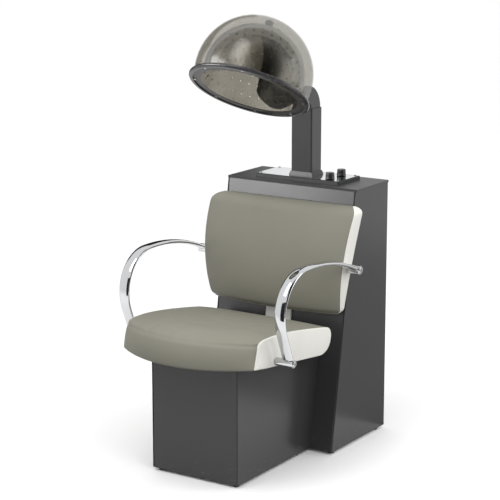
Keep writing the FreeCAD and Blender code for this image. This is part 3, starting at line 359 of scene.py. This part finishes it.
def sheared_plate(name, colour, roughness):
    """Polished sheet whose sheared edges stay dull and dark."""
    material = bright_metal(name, colour, roughness, 20.0)
    tree = material.node_tree
    shader = tree.nodes["Principled BSDF"]
    face = remap(tree, facing_up(tree), 0, 1, 0.3, 0.8)
    polished = shader.inputs["Base Color"].links[0].from_socket
    toned = blend_colour(tree, face, darker(colour, 0.15), polished)
    tree.links.new(toned, shader.inputs["Base Color"])
    smooth = shader.inputs["Roughness"].links[0].from_socket
    mix = tree.nodes.new("ShaderNodeMix")
    mix.inputs["A"].default_value = 0.5
    tree.links.new(face, mix.inputs["Factor"])
    tree.links.new(smooth, mix.inputs["B"])
    tree.links.new(mix.outputs["Result"], shader.inputs["Roughness"])
    return material


def brushed_metal(name, colour, roughness, stretch):
    """Metal with fine lines drawn along the axis whose stretch is smallest."""
    material, tree, shader = new_material(name)
    lines = noise(tree, 700.0, 3.0, stretch)
    tone = blend_colour(tree, remap(tree, lines, 0, 1), darker(colour, 0.86), colour)
    tree.links.new(tone, shader.inputs["Base Color"])
    shader.inputs["Metallic"].default_value = 1.0
    gloss = remap(tree, lines, roughness - 0.06, roughness + 0.08)
    tree.links.new(gloss, shader.inputs["Roughness"])
    bump(tree, shader, lines, 0.00003, 0.6)
    return material


def moulded_plastic(name, colour, roughness, grain=500.0):
    """Moulded plastic with a fine spark-eroded texture."""
    material, tree, shader = new_material(name)
    vary_colour(tree, shader, darker(colour, 0.88), darker(colour, 1.12), 30.0)
    vary_roughness(tree, shader, roughness - 0.05, roughness + 0.06, 60.0)
    bump(tree, shader, noise(tree, grain, 2.0), 0.00004, 0.5)
    return material


def smoked_shell(name, node, tint, facing_share, edge_share, gloss):
    """Thin smoked sheet of a dome: tinted, a soft mirror outside, dark where it is cut."""
    material, tree, shader = new_material(name)
    shader.inputs["Base Color"].default_value = (0.03, 0.027, 0.024, 1)
    shader.inputs["Roughness"].default_value = 0.4
    clear = tree.nodes.new("ShaderNodeBsdfTransparent")
    clouds = remap(tree, noise(tree, 7.0), 0, 1)
    tree.links.new(blend_colour(tree, clouds, darker(tint, 0.97), tint), clear.inputs["Color"])
    shine = tree.nodes.new("ShaderNodeBsdfGlossy")
    shine.inputs["Color"].default_value = (0.85, 0.86, 0.88, 1)
    tree.links.new(remap(tree, noise(tree, 8.0), gloss, gloss * 1.4), shine.inputs["Roughness"])
    edge = tree.nodes.new("ShaderNodeLayerWeight")
    edge.inputs["Blend"].default_value = 0.2
    share = remap(tree, edge.outputs["Fresnel"], facing_share, edge_share, 0.0, 1.0)
    facing = dome_facing(tree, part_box(node))
    coated = arithmetic(tree, "MULTIPLY", share, remap(tree, facing, 0.3, 1.0, -0.2, 0.2))
    sheet = mix_shaders(tree, coated, clear.outputs["BSDF"], shine.outputs["BSDF"])
    cut = remap(tree, arithmetic(tree, "ABSOLUTE", facing), 1, 0, 0.45, 0.6)
    surface = mix_shaders(tree, cut, sheet, shader.outputs["BSDF"])
    tree.links.new(surface, tree.nodes["Material Output"].inputs["Surface"])
    return material


def dome_facing(tree, box):
    """1 on a dome's outside, -1 on its inside and about 0 on hole walls and cut edges."""
    low, high = box
    middle = ((low.x + high.x) / 2, (low.y + high.y) / 2, low.z + 0.3 * (high.z - low.z))
    source = tree.nodes.new("ShaderNodeTexCoord")
    steps = []
    for operation in ("SUBTRACT", "NORMALIZE", "DOT_PRODUCT"):
        node = tree.nodes.new("ShaderNodeVectorMath")
        node.operation = operation
        steps.append(node)
    offset, ray, dot = steps
    offset.inputs[1].default_value = middle
    tree.links.new(source.outputs["Object"], offset.inputs[0])
    tree.links.new(offset.outputs["Vector"], ray.inputs[0])
    tree.links.new(ray.outputs["Vector"], dot.inputs[0])
    tree.links.new(source.outputs["Normal"], dot.inputs[1])
    return dot.outputs["Value"]


def plywood(name):
    material, tree, shader = new_material(name)
    plies = noise(tree, 60.0, 4.0, (0.4, 1, 6))
    tone = blend_colour(tree, remap(tree, plies, 0, 1), (0.42, 0.27, 0.14), (0.62, 0.45, 0.27))
    tree.links.new(tone, shader.inputs["Base Color"])
    shader.inputs["Roughness"].default_value = 0.7
    bump(tree, shader, plies, 0.0003, 0.5)
    return material


def make_materials():
    return {
        "cabinet_paint": powder_paint("cabinet_paint", (0.040, 0.039, 0.041), 0.24),
        "zinc_steel": brushed_metal("zinc_steel", (0.40, 0.41, 0.42), 0.42, (0.15, 1, 1)),
        "bracket_paint": powder_paint("bracket_paint", (0.97, 0.96, 0.92), 0.3),
        "taupe_vinyl": vinyl("taupe_vinyl", (0.249, 0.242, 0.199), 0.48),
        "white_vinyl": vinyl("white_vinyl", (0.84, 0.825, 0.775), 0.42),
        "plywood": plywood("plywood"),
        "chrome": bright_metal("chrome", (0.60, 0.61, 0.62), 0.07),
        "black_plastic": moulded_plastic("black_plastic", (0.022, 0.022, 0.023), 0.42),
        "knob_plastic": moulded_plastic("knob_plastic", (0.014, 0.014, 0.015), 0.30, 800.0),
        "polished_steel": sheared_plate("polished_steel", (0.60, 0.61, 0.62), 0.07),
        "glide_rubber": moulded_plastic("glide_rubber", (0.025, 0.025, 0.025), 0.75, 300.0),
        "smoked_clear": smoked_shell("smoked_clear", "outer_shell", (0.79, 0.78, 0.75),
                                     0.014, 0.38, 0.13),
        "smoked_mirror": smoked_shell("smoked_mirror", "inner_shell", (0.68, 0.665, 0.63),
                                      0.15, 0.75, 0.25),
        "rim_plastic": moulded_plastic("rim_plastic", (0.025, 0.024, 0.026), 0.25, 900.0),
        "plenum_plastic": moulded_plastic("plenum_plastic", (0.020, 0.016, 0.014), 0.5),
        "liner_plastic": moulded_plastic("liner_plastic", (0.70, 0.69, 0.65), 0.5),
        "fan_plastic": moulded_plastic("fan_plastic", (0.05, 0.05, 0.055), 0.5),
        "motor_steel": brushed_metal("motor_steel", (0.42, 0.42, 0.43), 0.4, (0.2, 1, 1)),
        "heater_alloy": brushed_metal("heater_alloy", (0.22, 0.20, 0.18), 0.55, (0.2, 1, 1)),
        "terminal_plastic": moulded_plastic("terminal_plastic", (0.75, 0.74, 0.70), 0.5),
        "die_cast": bright_metal("die_cast", (0.30, 0.30, 0.31), 0.32, 60.0),
    }


materials = {}


def dress_cad_nodes():
    """Every CAD node that stays takes the material of its own slot."""
    for part in frame["record"]["subparts"]:
        node = nodes[part["node"]]
        node.data.materials.clear()
        node.data.materials.append(materials[part["material_slot"]])


# ---- Mesh tools ----

def add_piece(name, points, faces, body, slot):
    mesh = bpy.data.meshes.new(name)
    mesh.from_pydata([tuple(p) for p in points], [], faces)
    mesh.update()
    for polygon in mesh.polygons:
        polygon.use_smooth = True
    mesh.materials.append(materials[slot])
    piece = put_in_scene(name, mesh)
    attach(piece, body)
    return piece


def outward(piece):
    """Turn all faces to look outward."""
    shape = bmesh.new()
    shape.from_mesh(piece.data)
    bmesh.ops.recalc_face_normals(shape, faces=shape.faces)
    shape.to_mesh(piece.data)
    shape.free()


def coordinates(mesh):
    flat = np.zeros(len(mesh.vertices) * 3)
    mesh.vertices.foreach_get("co", flat)
    return flat.reshape(-1, 3)


def set_coordinates(mesh, points):
    mesh.vertices.foreach_set("co", points.ravel())
    mesh.update()


def through(first, middle, last, share):
    """Point at a share of the smooth curve through three points."""
    a, b, c = (np.array(p, float) for p in (first, middle, last))
    t = share
    return a * (2 * t - 1) * (t - 1) + b * 4 * t * (1 - t) + c * t * (2 * t - 1)


CLOTH_STEPS = 20


def inflate(piece, held, pressure, cap):
    """Blow the cushion up as cloth that its seams hold, with no point moving past cap."""
    scene = bpy.context.scene
    rest = coordinates(piece.data)
    group = piece.vertex_groups.new(name="held")
    group.add(held, 1.0, "REPLACE")
    cloth = piece.modifiers.new("cloth", "CLOTH")
    settings = cloth.settings
    settings.vertex_group_mass = "held"
    settings.use_pressure = True
    settings.uniform_pressure_force = pressure
    settings.effector_weights.gravity = 0.0
    settings.tension_stiffness = 40.0
    settings.compression_stiffness = 40.0
    settings.bending_stiffness = 2.0
    settings.quality = 6
    for step in range(1, CLOTH_STEPS + 1):
        scene.frame_set(step)
    evaluated = piece.evaluated_get(bpy.context.evaluated_depsgraph_get())
    moved = coordinates(evaluated.data)
    piece.modifiers.remove(cloth)
    piece.vertex_groups.remove(group)
    scene.frame_set(1)
    shift = moved - rest
    length = np.linalg.norm(shift, axis=1, keepdims=True)
    shift *= np.minimum(1.0, cap / np.maximum(length, 1e-9))
    set_coordinates(piece.data, rest + shift)


def subdivide(piece, levels):
    modifier = piece.modifiers.new("subdivision", "SUBSURF")
    modifier.levels = levels
    modifier.render_levels = levels


def node_centre(node):
    """Middle of a node's box in the side view, as (y, z)."""
    low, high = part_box(node)
    return np.array(((low.y + high.y) / 2, (low.z + high.z) / 2))


def tube_faces(rings, sides):
    """Faces of a tube whose points run ring by ring, with a flat face on each end."""
    faces = []
    for ring in range(rings - 1):
        for step in range(sides):
            turn = (step + 1) % sides
            faces.append((ring * sides + step, ring * sides + turn,
                          (ring + 1) * sides + turn, (ring + 1) * sides + step))
    faces.append(tuple(reversed(range(sides))))
    faces.append(tuple(range((rings - 1) * sides, rings * sides)))
    return faces


def bead_along(name, path, radius, body, slot):
    """Round bead along a list of points."""
    sides = 8
    ahead = np.vstack([path[1:], path[-1:]])
    behind = np.vstack([path[:1], path[:-1]])
    tangent = ahead - behind
    tangent /= np.linalg.norm(tangent, axis=1, keepdims=True)
    side = np.cross(tangent, (0.0, 0.3, 1.0))
    side /= np.linalg.norm(side, axis=1, keepdims=True)
    up = np.cross(side, tangent)
    points = []
    for centre, across, over in zip(path, side, up):
        for step in range(sides):
            angle = 2 * math.pi * step / sides
            points.append(centre + radius * (math.cos(angle) * across + math.sin(angle) * over))
    bead = add_piece(name, points, tube_faces(len(path), sides), body, slot)
    outward(bead)


# ---- Seat cushion ----

SEAT_PITCH = math.radians(6.5)
SEAT_BOW = 88 * MM
SEAT_CORNER_RADIUS = 30 * MM
SEAT_PRESSURE = 4.0
SEAT_CAP = 6 * MM
SIDE_INSET = 1.0 * MM
SEAM_INSET = 5.0 * MM
COVER_THICKNESS = 1.5 * MM


class SeatFrame:
    """The seat's own frame: X across, u back along its underside and w up from it."""

    def __init__(self):
        points = coordinates(nodes["seat_cushion"].data)
        c, s = math.cos(SEAT_PITCH), math.sin(SEAT_PITCH)
        u = points[:, 1] * c - points[:, 2] * s
        w = points[:, 1] * s + points[:, 2] * c
        self.front = u.min() + 90 * MM
        self.base = w.min() + 14 * MM
        self.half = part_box("seat_side_left")[1].x

    def place(self, x, u, w):
        c, s = math.cos(SEAT_PITCH), math.sin(SEAT_PITCH)
        u, w = u + self.front, w + self.base
        return (x, u * c + w * s, w * c - u * s)


def seat_front_line(half):
    """From the middle to the side: X and how far the front lies behind its middle."""
    radius = (half ** 2 + SEAT_BOW ** 2) / (2 * SEAT_BOW)
    corner = SEAT_CORNER_RADIUS
    meet = math.asin(half / radius)
    bend_x = half - corner + corner * math.sin(meet)
    bow = np.linspace(0, bend_x, 26)
    steps = [(x, radius - math.sqrt(radius ** 2 - x ** 2)) for x in bow]
    centre = steps[-1][1] + corner * math.cos(meet)
    for angle in np.linspace(meet, math.pi / 2, 9)[1:]:
        steps.append((half - corner + corner * math.sin(angle), centre - corner * math.cos(angle)))
    return steps


SEAT_ROWS_FRONT = 12
SEAT_ROWS_UPPER = (SEAT_ROWS_FRONT, 8, 30, 8)
SEAT_ROWS_LOWER = (6, 42, 10)


def seat_section(shift, swell, tuck):
    """Side view of the seat at one place across it, as an upper and a lower chain of (u, w).

    The numbers are mm: each pair is a place at the seat's middle and the same place at its side.
    """
    share = shift / SEAT_BOW

    def moved(at_middle, at_side):
        return [a + (b - a) * share for a, b in zip(at_middle, at_side)]

    foot = moved((-87, -16 + tuck), (0, tuck))
    seam = moved((-81, 74), (13, 76 - tuck))
    brow = moved((-56, 90 + 0.3 * swell), (28, 89 - tuck))
    lip = moved((0, 98 + 0.6 * swell), (66, 95.5 - tuck))
    crown = moved((205, 103 + swell), (205, 101 - tuck))
    rear_lip = (431, 90 + 0.2 * swell - tuck)
    rear = (460 - tuck, 58)
    rear_foot = (404, tuck)
    under = moved((28, tuck), (60, tuck))
    belly = [(a + b) / 2 for a, b in zip(foot, seam)]
    belly[0] -= 1.0 + 8.0 * (1 - share ** 6)
    spans = [(foot, belly, seam), (seam, brow, lip), (lip, crown, rear_lip),
             (rear_lip, (452 - tuck, 79), rear)]
    upper = [np.array(foot, float)]
    for (a, b, c), count in zip(spans, SEAT_ROWS_UPPER):
        upper += [through(a, b, c, step / count) for step in range(1, count + 1)]
    half_way = [(a + b) / 2 for a, b in zip(foot, under)]
    flat = ((under[0] + rear_foot[0]) / 2, tuck)
    lower = [np.array(foot, float)]
    for (a, b, c), count in zip([(foot, half_way, under), (under, flat, rear_foot),
                                 (rear_foot, (446 - tuck, 20), rear)], SEAT_ROWS_LOWER):
        lower += [through(a, b, c, step / count) for step in range(1, count + 1)]
    return np.array(upper) * MM, np.array(lower) * MM


def seat_stations(half):
    """Places across the seat: X, front shift, swell and tuck in mm."""
    right = []
    for x, shift in seat_front_line(half):
        across = 1 - (x / half) ** 2
        right.append((x, shift, 2.5 * across, 0.0))
    x_edge, shift_edge = right[-1][:2]
    for beyond, tuck in ((0.6, 1.2), (0.9, 3.0)):
        right.append((x_edge + beyond * MM, shift_edge, 0.0, tuck))
    left = [(-x, shift, swell, tuck) for x, shift, swell, tuck in right[:0:-1]]
    return left + right


def seat_mesh():
    """Closed mesh of the whole seat, its white faces, its held points and its front seam."""
    seat = SeatFrame()
    stations = seat_stations(seat.half - SIDE_INSET)
    count = sum(SEAT_ROWS_UPPER)
    ring = 2 * count
    points = []
    for x, shift, swell, tuck in stations:
        upper, lower = seat_section(shift, swell, tuck)
        loop = list(upper) + list(lower[-2:0:-1])
        points += [seat.place(x, u, w) for u, w in loop]
    faces, white = [], []
    last = len(stations) - 1
    seam_x = seat.half - SEAM_INSET
    for s in range(last):
        outer = min(abs(stations[s][0]), abs(stations[s + 1][0])) >= seam_x
        for k in range(ring):
            n = (k + 1) % ring
            if outer:
                white.append(len(faces))
            faces.append((s * ring + k, s * ring + n, (s + 1) * ring + n, (s + 1) * ring + k))
    for s, side in ((0, -1), (last, 1)):
        first = len(faces)
        close_seat_side(points, faces, s * ring, count, side)
        white += range(first, len(faces))
    held = []
    for s, (x, _, _, _) in enumerate(stations):
        for k in range(ring):
            under = k > count + SEAT_ROWS_LOWER[2]
            at_seam = k in (0, SEAT_ROWS_FRONT) or abs(x) >= seam_x
            if under or at_seam:
                held.append(s * ring + k)
    front_seam = [s * ring + SEAT_ROWS_FRONT for s, (x, _, _, _) in enumerate(stations)
                  if abs(x) <= seam_x]
    return points, faces, set(white), held, front_seam


def close_seat_side(points, faces, base, count, side):
    """Fill one side of the seat with faces that swell a little."""
    columns = 7
    ring = 2 * count
    rows = []
    for k in range(1, count):
        top, bottom = np.array(points[base + k]), np.array(points[base + ring - k])
        row = [base + k]
        for c in range(1, columns):
            share = c / columns
            inner = top + (bottom - top) * share
            along = min(k, count - k) / 8.0
            inner[0] += side * 1.8 * MM * min(1.0, along) * math.sin(math.pi * share)
            row.append(len(points))
            points.append(tuple(inner))
        row.append(base + ring - k)
        rows.append(row)
    fan = [[base] * (columns + 1)] + rows + [[base + count] * (columns + 1)]
    for a, b in zip(fan, fan[1:]):
        for c in range(columns):
            corners = []
            for corner in (a[c], a[c + 1], b[c + 1], b[c]):
                if corner not in corners:
                    corners.append(corner)
            faces.append(tuple(corners))


def split_covers(piece, white, names, body, slot, thickness):
    """Take the white faces off as two closed covers, and set the cushion below them."""
    mesh = piece.data
    points = coordinates(mesh)
    normals = np.array([v.normal for v in mesh.vertices])
    covers = []
    for side, name in names.items():
        chosen = [i for i in white if mesh.polygons[i].center.x * side > 0]
        used = sorted({v for i in chosen for v in mesh.polygons[i].vertices})
        index = {v: n for n, v in enumerate(used)}
        outer = points[used]
        inner = outer - normals[used] * thickness
        faces = [tuple(index[v] for v in mesh.polygons[i].vertices) for i in chosen]
        back = [tuple(len(used) + v for v in reversed(face)) for face in faces]
        edges = {}
        for face in faces:
            for a, b in zip(face, face[1:] + face[:1]):
                edges[(a, b)] = edges.get((a, b), 0) + 1
        rim = [(b, a, len(used) + a, len(used) + b) for a, b in edges if (b, a) not in edges]
        cover = add_piece(name, np.vstack([outer, inner]), faces + back + rim, body, slot)
        outward(cover)
        covers.append(cover)
    sunk = sorted({v for i in white for v in mesh.polygons[i].vertices})
    points[sunk] -= normals[sunk] * (thickness + 0.1 * MM)
    set_coordinates(mesh, points)
    return covers


def sink_line(piece, line, depth, width):
    """Press a groove into a piece along a line of points."""
    points = coordinates(piece.data)
    normals = np.array([v.normal for v in piece.data.vertices])
    nearest = np.full(len(points), 1e9)
    for a, b in zip(line, line[1:]):
        run = b - a
        share = np.clip(((points - a) @ run) / (run @ run), 0, 1)
        nearest = np.minimum(nearest, np.linalg.norm(points - (a + share[:, None] * run), axis=1))
    points -= normals * (depth * np.exp(-(nearest / width) ** 2))[:, None]
    set_coordinates(piece.data, points)


def pull_in_at_arms(seat):
    """Soft fold in each white side, from the arm's front boss up to the top."""
    y, z = node_centre("arm_front_bosses")
    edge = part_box("seat_side_left")[1].x
    for x in (edge, -edge):
        foot = np.array((x, y - 12 * MM, z + 4 * MM))
        head = np.array((x, y - 30 * MM, z + 62 * MM))
        sink_line(seat, [foot, head], 5.0 * MM, 10 * MM)


def make_seat():
    points, faces, white, held, front_seam = seat_mesh()
    seat = add_piece("seat_upholstery", points, faces, "chair", "taupe_vinyl")
    outward(seat)
    inflate(seat, held, SEAT_PRESSURE, SEAT_CAP)
    sink_line(seat, coordinates(seat.data)[front_seam], 4.0 * MM, 5 * MM)
    pull_in_at_arms(seat)
    names = {1: "seat_cover_left", -1: "seat_cover_right"}
    covers = split_covers(seat, white, names, "chair", "white_vinyl", COVER_THICKNESS)
    for cover, node in zip(covers, ("seat_side_left", "seat_side_right")):
        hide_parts(node)
        subdivide(cover, 1)
    subdivide(seat, 1)
    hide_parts("seat_cushion")


# ---- Back cushion ----

BACK_BOW = 40 * MM
BACK_FOOT = 24 * MM
BACK_HEAD = 26 * MM
BACK_PILLOW = 9 * MM
SIDE_CROWN = 5 * MM
BACK_CORNER = 34 * MM
BACK_COLUMNS = 44
BACK_SIDE_COLUMNS = 8
BACK_PRESSURE = 3.0
BACK_CAP = 5 * MM
WELT_ROW = 3
WELT_RADIUS = 1.8 * MM


def through_three(points):
    """The parabola y(z) through three (y, z) points in mm, as coefficients in metres."""
    y, z = np.array(points).T * MM
    return np.polyfit(z, y, 2)


class BackFrame:
    """Front and rear edges and half width of the back's white side, as curves of height."""

    def __init__(self):
        low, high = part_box("back_cushion")
        self.foot, self.head = low.z, high.z
        self.front = through_three([(133.0, 505.0), (120.5, 600.0), (170.0, 800.0)])
        self.rear = through_three([(164.0, 505.0), (180.0, 620.0), (230.0, 800.0)])
        self.width = np.polyfit(np.array([480.0, 830.0]) * MM, np.array([256.0, 284.0]) * MM, 1)

    def half(self, z):
        """Half width at a height; the side stands proud between its ends."""
        return np.polyval(self.width, z) + SIDE_CROWN * math.sin(math.pi * self.level(z)) ** 0.7

    def level(self, z):
        """Share of the back's height that lies below z."""
        return min(max((z - self.foot) / (self.head - self.foot), 0), 1)


def back_levels(back):
    """Heights of the cushion's rows and how full each row is, from 0 to 1."""
    start = math.radians(8)
    levels = []
    for angle in np.linspace(start, math.pi / 2, 9)[:-1]:
        levels.append((back.foot + BACK_FOOT * (1 - math.cos(angle)), math.sin(angle)))
    for z in np.linspace(back.foot + BACK_FOOT, back.head - BACK_HEAD, 31):
        levels.append((z, 1.0))
    for angle in np.linspace(math.pi / 2, start, 10)[1:]:
        levels.append((back.head - BACK_HEAD * (1 - math.cos(angle)), math.sin(angle)))
    return levels


def back_row(back, z, full):
    """Closed row of the back cushion at one height: front, left side, rear, right side."""
    front, rear = np.polyval(back.front, z), np.polyval(back.rear, z)
    middle = (front + rear) / 2 + (1 - full) * 8 * MM
    front, rear = middle + (front - middle) * full, middle + (rear - middle) * full
    half = back.half(z) - (1 - full) * BACK_CORNER
    bow = BACK_BOW * (0.5 + 0.5 * full)
    pillow = BACK_PILLOW * math.sin(math.pi * back.level(z)) ** 0.6
    row = []
    widest = math.pi / 2 * 0.85
    for share in np.linspace(-1, 1, BACK_COLUMNS + 1):
        x = math.sin(share * widest) / math.sin(widest)
        row.append((half * x, front - bow * (1 - x * x) - pillow * (1 - x ** 8), z))
    for share in np.linspace(0, 1, BACK_SIDE_COLUMNS + 1)[1:-1]:
        swell = 1.2 * MM * math.sin(math.pi * share)
        row.append((half + swell, front + (rear - front) * share, z))
    for share in np.linspace(1, -1, BACK_COLUMNS + 1):
        row.append((half * share, rear + 1.5 * MM * (share * share - 1), z))
    for share in np.linspace(1, 0, BACK_SIDE_COLUMNS + 1)[1:-1]:
        swell = 1.2 * MM * math.sin(math.pi * share)
        row.append((-half - swell, front + (rear - front) * share, z))
    return row


def back_mesh():
    """Closed mesh of the whole back, its white faces, its held points and its foot line."""
    back = BackFrame()
    levels = back_levels(back)
    rows = [back_row(back, z, full) for z, full in levels]
    ring = len(rows[0])
    points = [p for row in rows for p in row]
    faces, white = [], set()
    front_right, rear_right = BACK_COLUMNS, BACK_COLUMNS + BACK_SIDE_COLUMNS
    rear_left = rear_right + BACK_COLUMNS
    for r in range(len(rows) - 1):
        for k in range(ring):
            n = (k + 1) % ring
            on_side = front_right <= k < rear_right or k >= rear_left
            if on_side:
                white.add(len(faces))
            faces.append((r * ring + k, r * ring + n, (r + 1) * ring + n, (r + 1) * ring + k))
    for r in (0, len(rows) - 1):
        close_end(points, faces, r * ring, ring)
    held = []
    for r in range(len(rows)):
        at_end = r in (WELT_ROW, len(rows) - 1 - WELT_ROW)
        for k in range(ring):
            corner = k in (0, front_right, rear_right, rear_left)
            behind = rear_right <= k <= rear_left
            if corner or behind or at_end:
                held.append(r * ring + k)
    foot_line = [WELT_ROW * ring + k for k in range(BACK_COLUMNS + 1)]
    return points, faces, white, held, foot_line


def close_end(points, faces, base, ring):
    """Close the first or last row with strips between its front and rear."""
    sides = BACK_SIDE_COLUMNS
    front = [base + k for k in range(BACK_COLUMNS + 1)]
    rear = [base + 2 * BACK_COLUMNS + sides - k for k in range(BACK_COLUMNS + 1)]
    chains = [front]
    for c in range(1, sides):
        chain = [base + (ring - c)]
        for k in range(1, BACK_COLUMNS):
            a, b = np.array(points[front[k]]), np.array(points[rear[k]])
            chain.append(len(points))
            points.append(tuple(a + (b - a) * c / sides))
        chain.append(base + BACK_COLUMNS + c)
        chains.append(chain)
    chains.append(rear)
    for a, b in zip(chains, chains[1:]):
        for k in range(BACK_COLUMNS):
            faces.append((a[k], a[k + 1], b[k + 1], b[k]))


def make_back():
    points, faces, white, held, foot_line = back_mesh()
    back = add_piece("back_upholstery", points, faces, "chair", "taupe_vinyl")
    outward(back)
    inflate(back, held, BACK_PRESSURE, BACK_CAP)
    line = coordinates(back.data)[foot_line]
    names = {1: "back_cover_left", -1: "back_cover_right"}
    covers = split_covers(back, white, names, "chair", "white_vinyl", COVER_THICKNESS)
    for cover, node in zip(covers, ("back_side_left", "back_side_right")):
        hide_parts(node)
        subdivide(cover, 1)
    subdivide(back, 1)
    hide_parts("back_cushion")
    bead_along("back_foot_welt", line, WELT_RADIUS, "chair", "taupe_vinyl")


# ---- Arms ----

ARM_HALF_WIDTH = 20 * MM
ARM_HALF_THICKNESS = 7.5 * MM
ARM_FRONT_RADIUS = 133 * MM
ARM_CROWN_RADIUS = 730 * MM
ARM_ARC_FROM_BOSS = np.array((80.5, 152.0)) * MM
ARM_SIDES = 56
ARM_LEG_STEPS = 12
ARM_ARC_STEPS = 60


def inside_boss(node):
    """How far from a boss's axis a tube ends, just inside the boss."""
    low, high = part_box(node)
    return 0.8 * (high.z - low.z) / 2


def arc_points(centre, start, end, steps):
    """Points of the clockwise arc from start to end, without the first."""
    a, b = start - centre, end - centre
    first = math.atan2(a[1], a[0])
    sweep = (first - math.atan2(b[1], b[0])) % (2 * math.pi)
    radius = np.linalg.norm(a)
    angles = first - sweep * np.arange(1, steps + 1) / steps
    return [centre + radius * np.array((math.cos(t), math.sin(t))) for t in angles]


def arm_line():
    """Centre line in the side view: straight leg, tight front arc, long crown arc, all tangent."""
    foot, rear = node_centre("arm_front_bosses"), node_centre("arm_rear_bosses")
    front = foot + ARM_ARC_FROM_BOSS
    away = foot - front
    touch = math.atan2(away[1], away[0]) - math.acos(ARM_FRONT_RADIUS / np.linalg.norm(away))
    leg_top = front + ARM_FRONT_RADIUS * np.array((math.cos(touch), math.sin(touch)))
    reach = ARM_CROWN_RADIUS - ARM_FRONT_RADIUS
    gap = rear - front
    apart = np.linalg.norm(gap)
    along = (apart ** 2 + reach ** 2 - ARM_CROWN_RADIUS ** 2) / (2 * apart)
    across = math.sqrt(reach ** 2 - along ** 2)
    unit = gap / apart
    crown = front + along * unit + across * np.array((unit[1], -unit[0]))
    crown_start = front + (front - crown) / reach * ARM_FRONT_RADIUS
    leg = leg_top - foot
    start = foot + leg / np.linalg.norm(leg) * inside_boss("arm_front_bosses")
    line = [start + (leg_top - start) * step / ARM_LEG_STEPS for step in range(ARM_LEG_STEPS + 1)]
    line += arc_points(front, leg_top, crown_start, ARM_ARC_STEPS)
    line += arc_points(crown, crown_start, rear, ARM_ARC_STEPS)
    return np.array([p for p in line if np.linalg.norm(p - rear) > inside_boss("arm_rear_bosses")])


def make_arm(name, node):
    """Polished oval tube swept along the arm's centre line."""
    low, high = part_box(node)
    middle = (low.x + high.x) / 2
    line = arm_line()
    tangent = np.gradient(line, axis=0)
    tangent /= np.linalg.norm(tangent, axis=1, keepdims=True)
    points = []
    for (y, z), (along_y, along_z) in zip(line, tangent):
        for step in range(ARM_SIDES):
            angle = 2 * math.pi * step / ARM_SIDES
            x = middle + ARM_HALF_WIDTH * math.cos(angle)
            out = ARM_HALF_THICKNESS * math.sin(angle)
            points.append((x, y - out * along_z, z + out * along_y))
    arm = add_piece(name, points, tube_faces(len(line), ARM_SIDES), "chair", "chrome")
    outward(arm)
    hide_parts(node)


def make_arms():
    make_arm("arm_left_tube", "arm_left")
    make_arm("arm_right_tube", "arm_right")


# ---- Knobs ----

KNOB_SKIRT = 3.5 * MM
KNOB_STEPS = 120
KNOB_FLUTES = 20
FLUTE_DEPTH = 0.035


def make_knob(name, node, body):
    """Knob with a plain skirt, a fluted, slightly conical grip and a domed edge."""
    low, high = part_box(node)
    centre = (low + high) / 2
    radius, height = (high.x - low.x) / 2, high.z - low.z
    skirt = KNOB_SKIRT / height
    profile = [(0.97, 0.0), (1.0, 0.03), (1.0, skirt), (0.97, skirt + 0.04), (0.96, 0.3),
               (0.94, 0.6), (0.92, 0.85), (0.89, 0.94), (0.83, 0.99), (0.72, 1.0)]
    points = []
    for share, level in profile:
        fluted = 1.0 if skirt + 0.02 < level < 0.97 else 0.0
        for step in range(KNOB_STEPS):
            angle = 2 * math.pi * step / KNOB_STEPS
            dip = FLUTE_DEPTH * fluted * (0.5 - 0.5 * math.cos(KNOB_FLUTES * angle))
            r = radius * (share - dip)
            points.append((centre.x + r * math.cos(angle), centre.y + r * math.sin(angle),
                           low.z + height * level))
    knob = add_piece(name, points, tube_faces(len(profile), KNOB_STEPS), body, "knob_plastic")
    outward(knob)
    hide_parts(node)


def make_knobs():
    make_knob("timer_knob_fluted", "timer_knob", "timer")
    make_knob("heat_knob_fluted", "heat_knob", "heat")


# ---- Build ----

make_camera()
materials.update(make_materials())
strip_light = make_studio()
make_floor()
make_bounce_card()
dress_cad_nodes()
make_seat()
make_back()
make_arms()
make_knobs()
shade_from(strip_light, ("taupe_vinyl", "white_vinyl", "chrome", "polished_steel"))
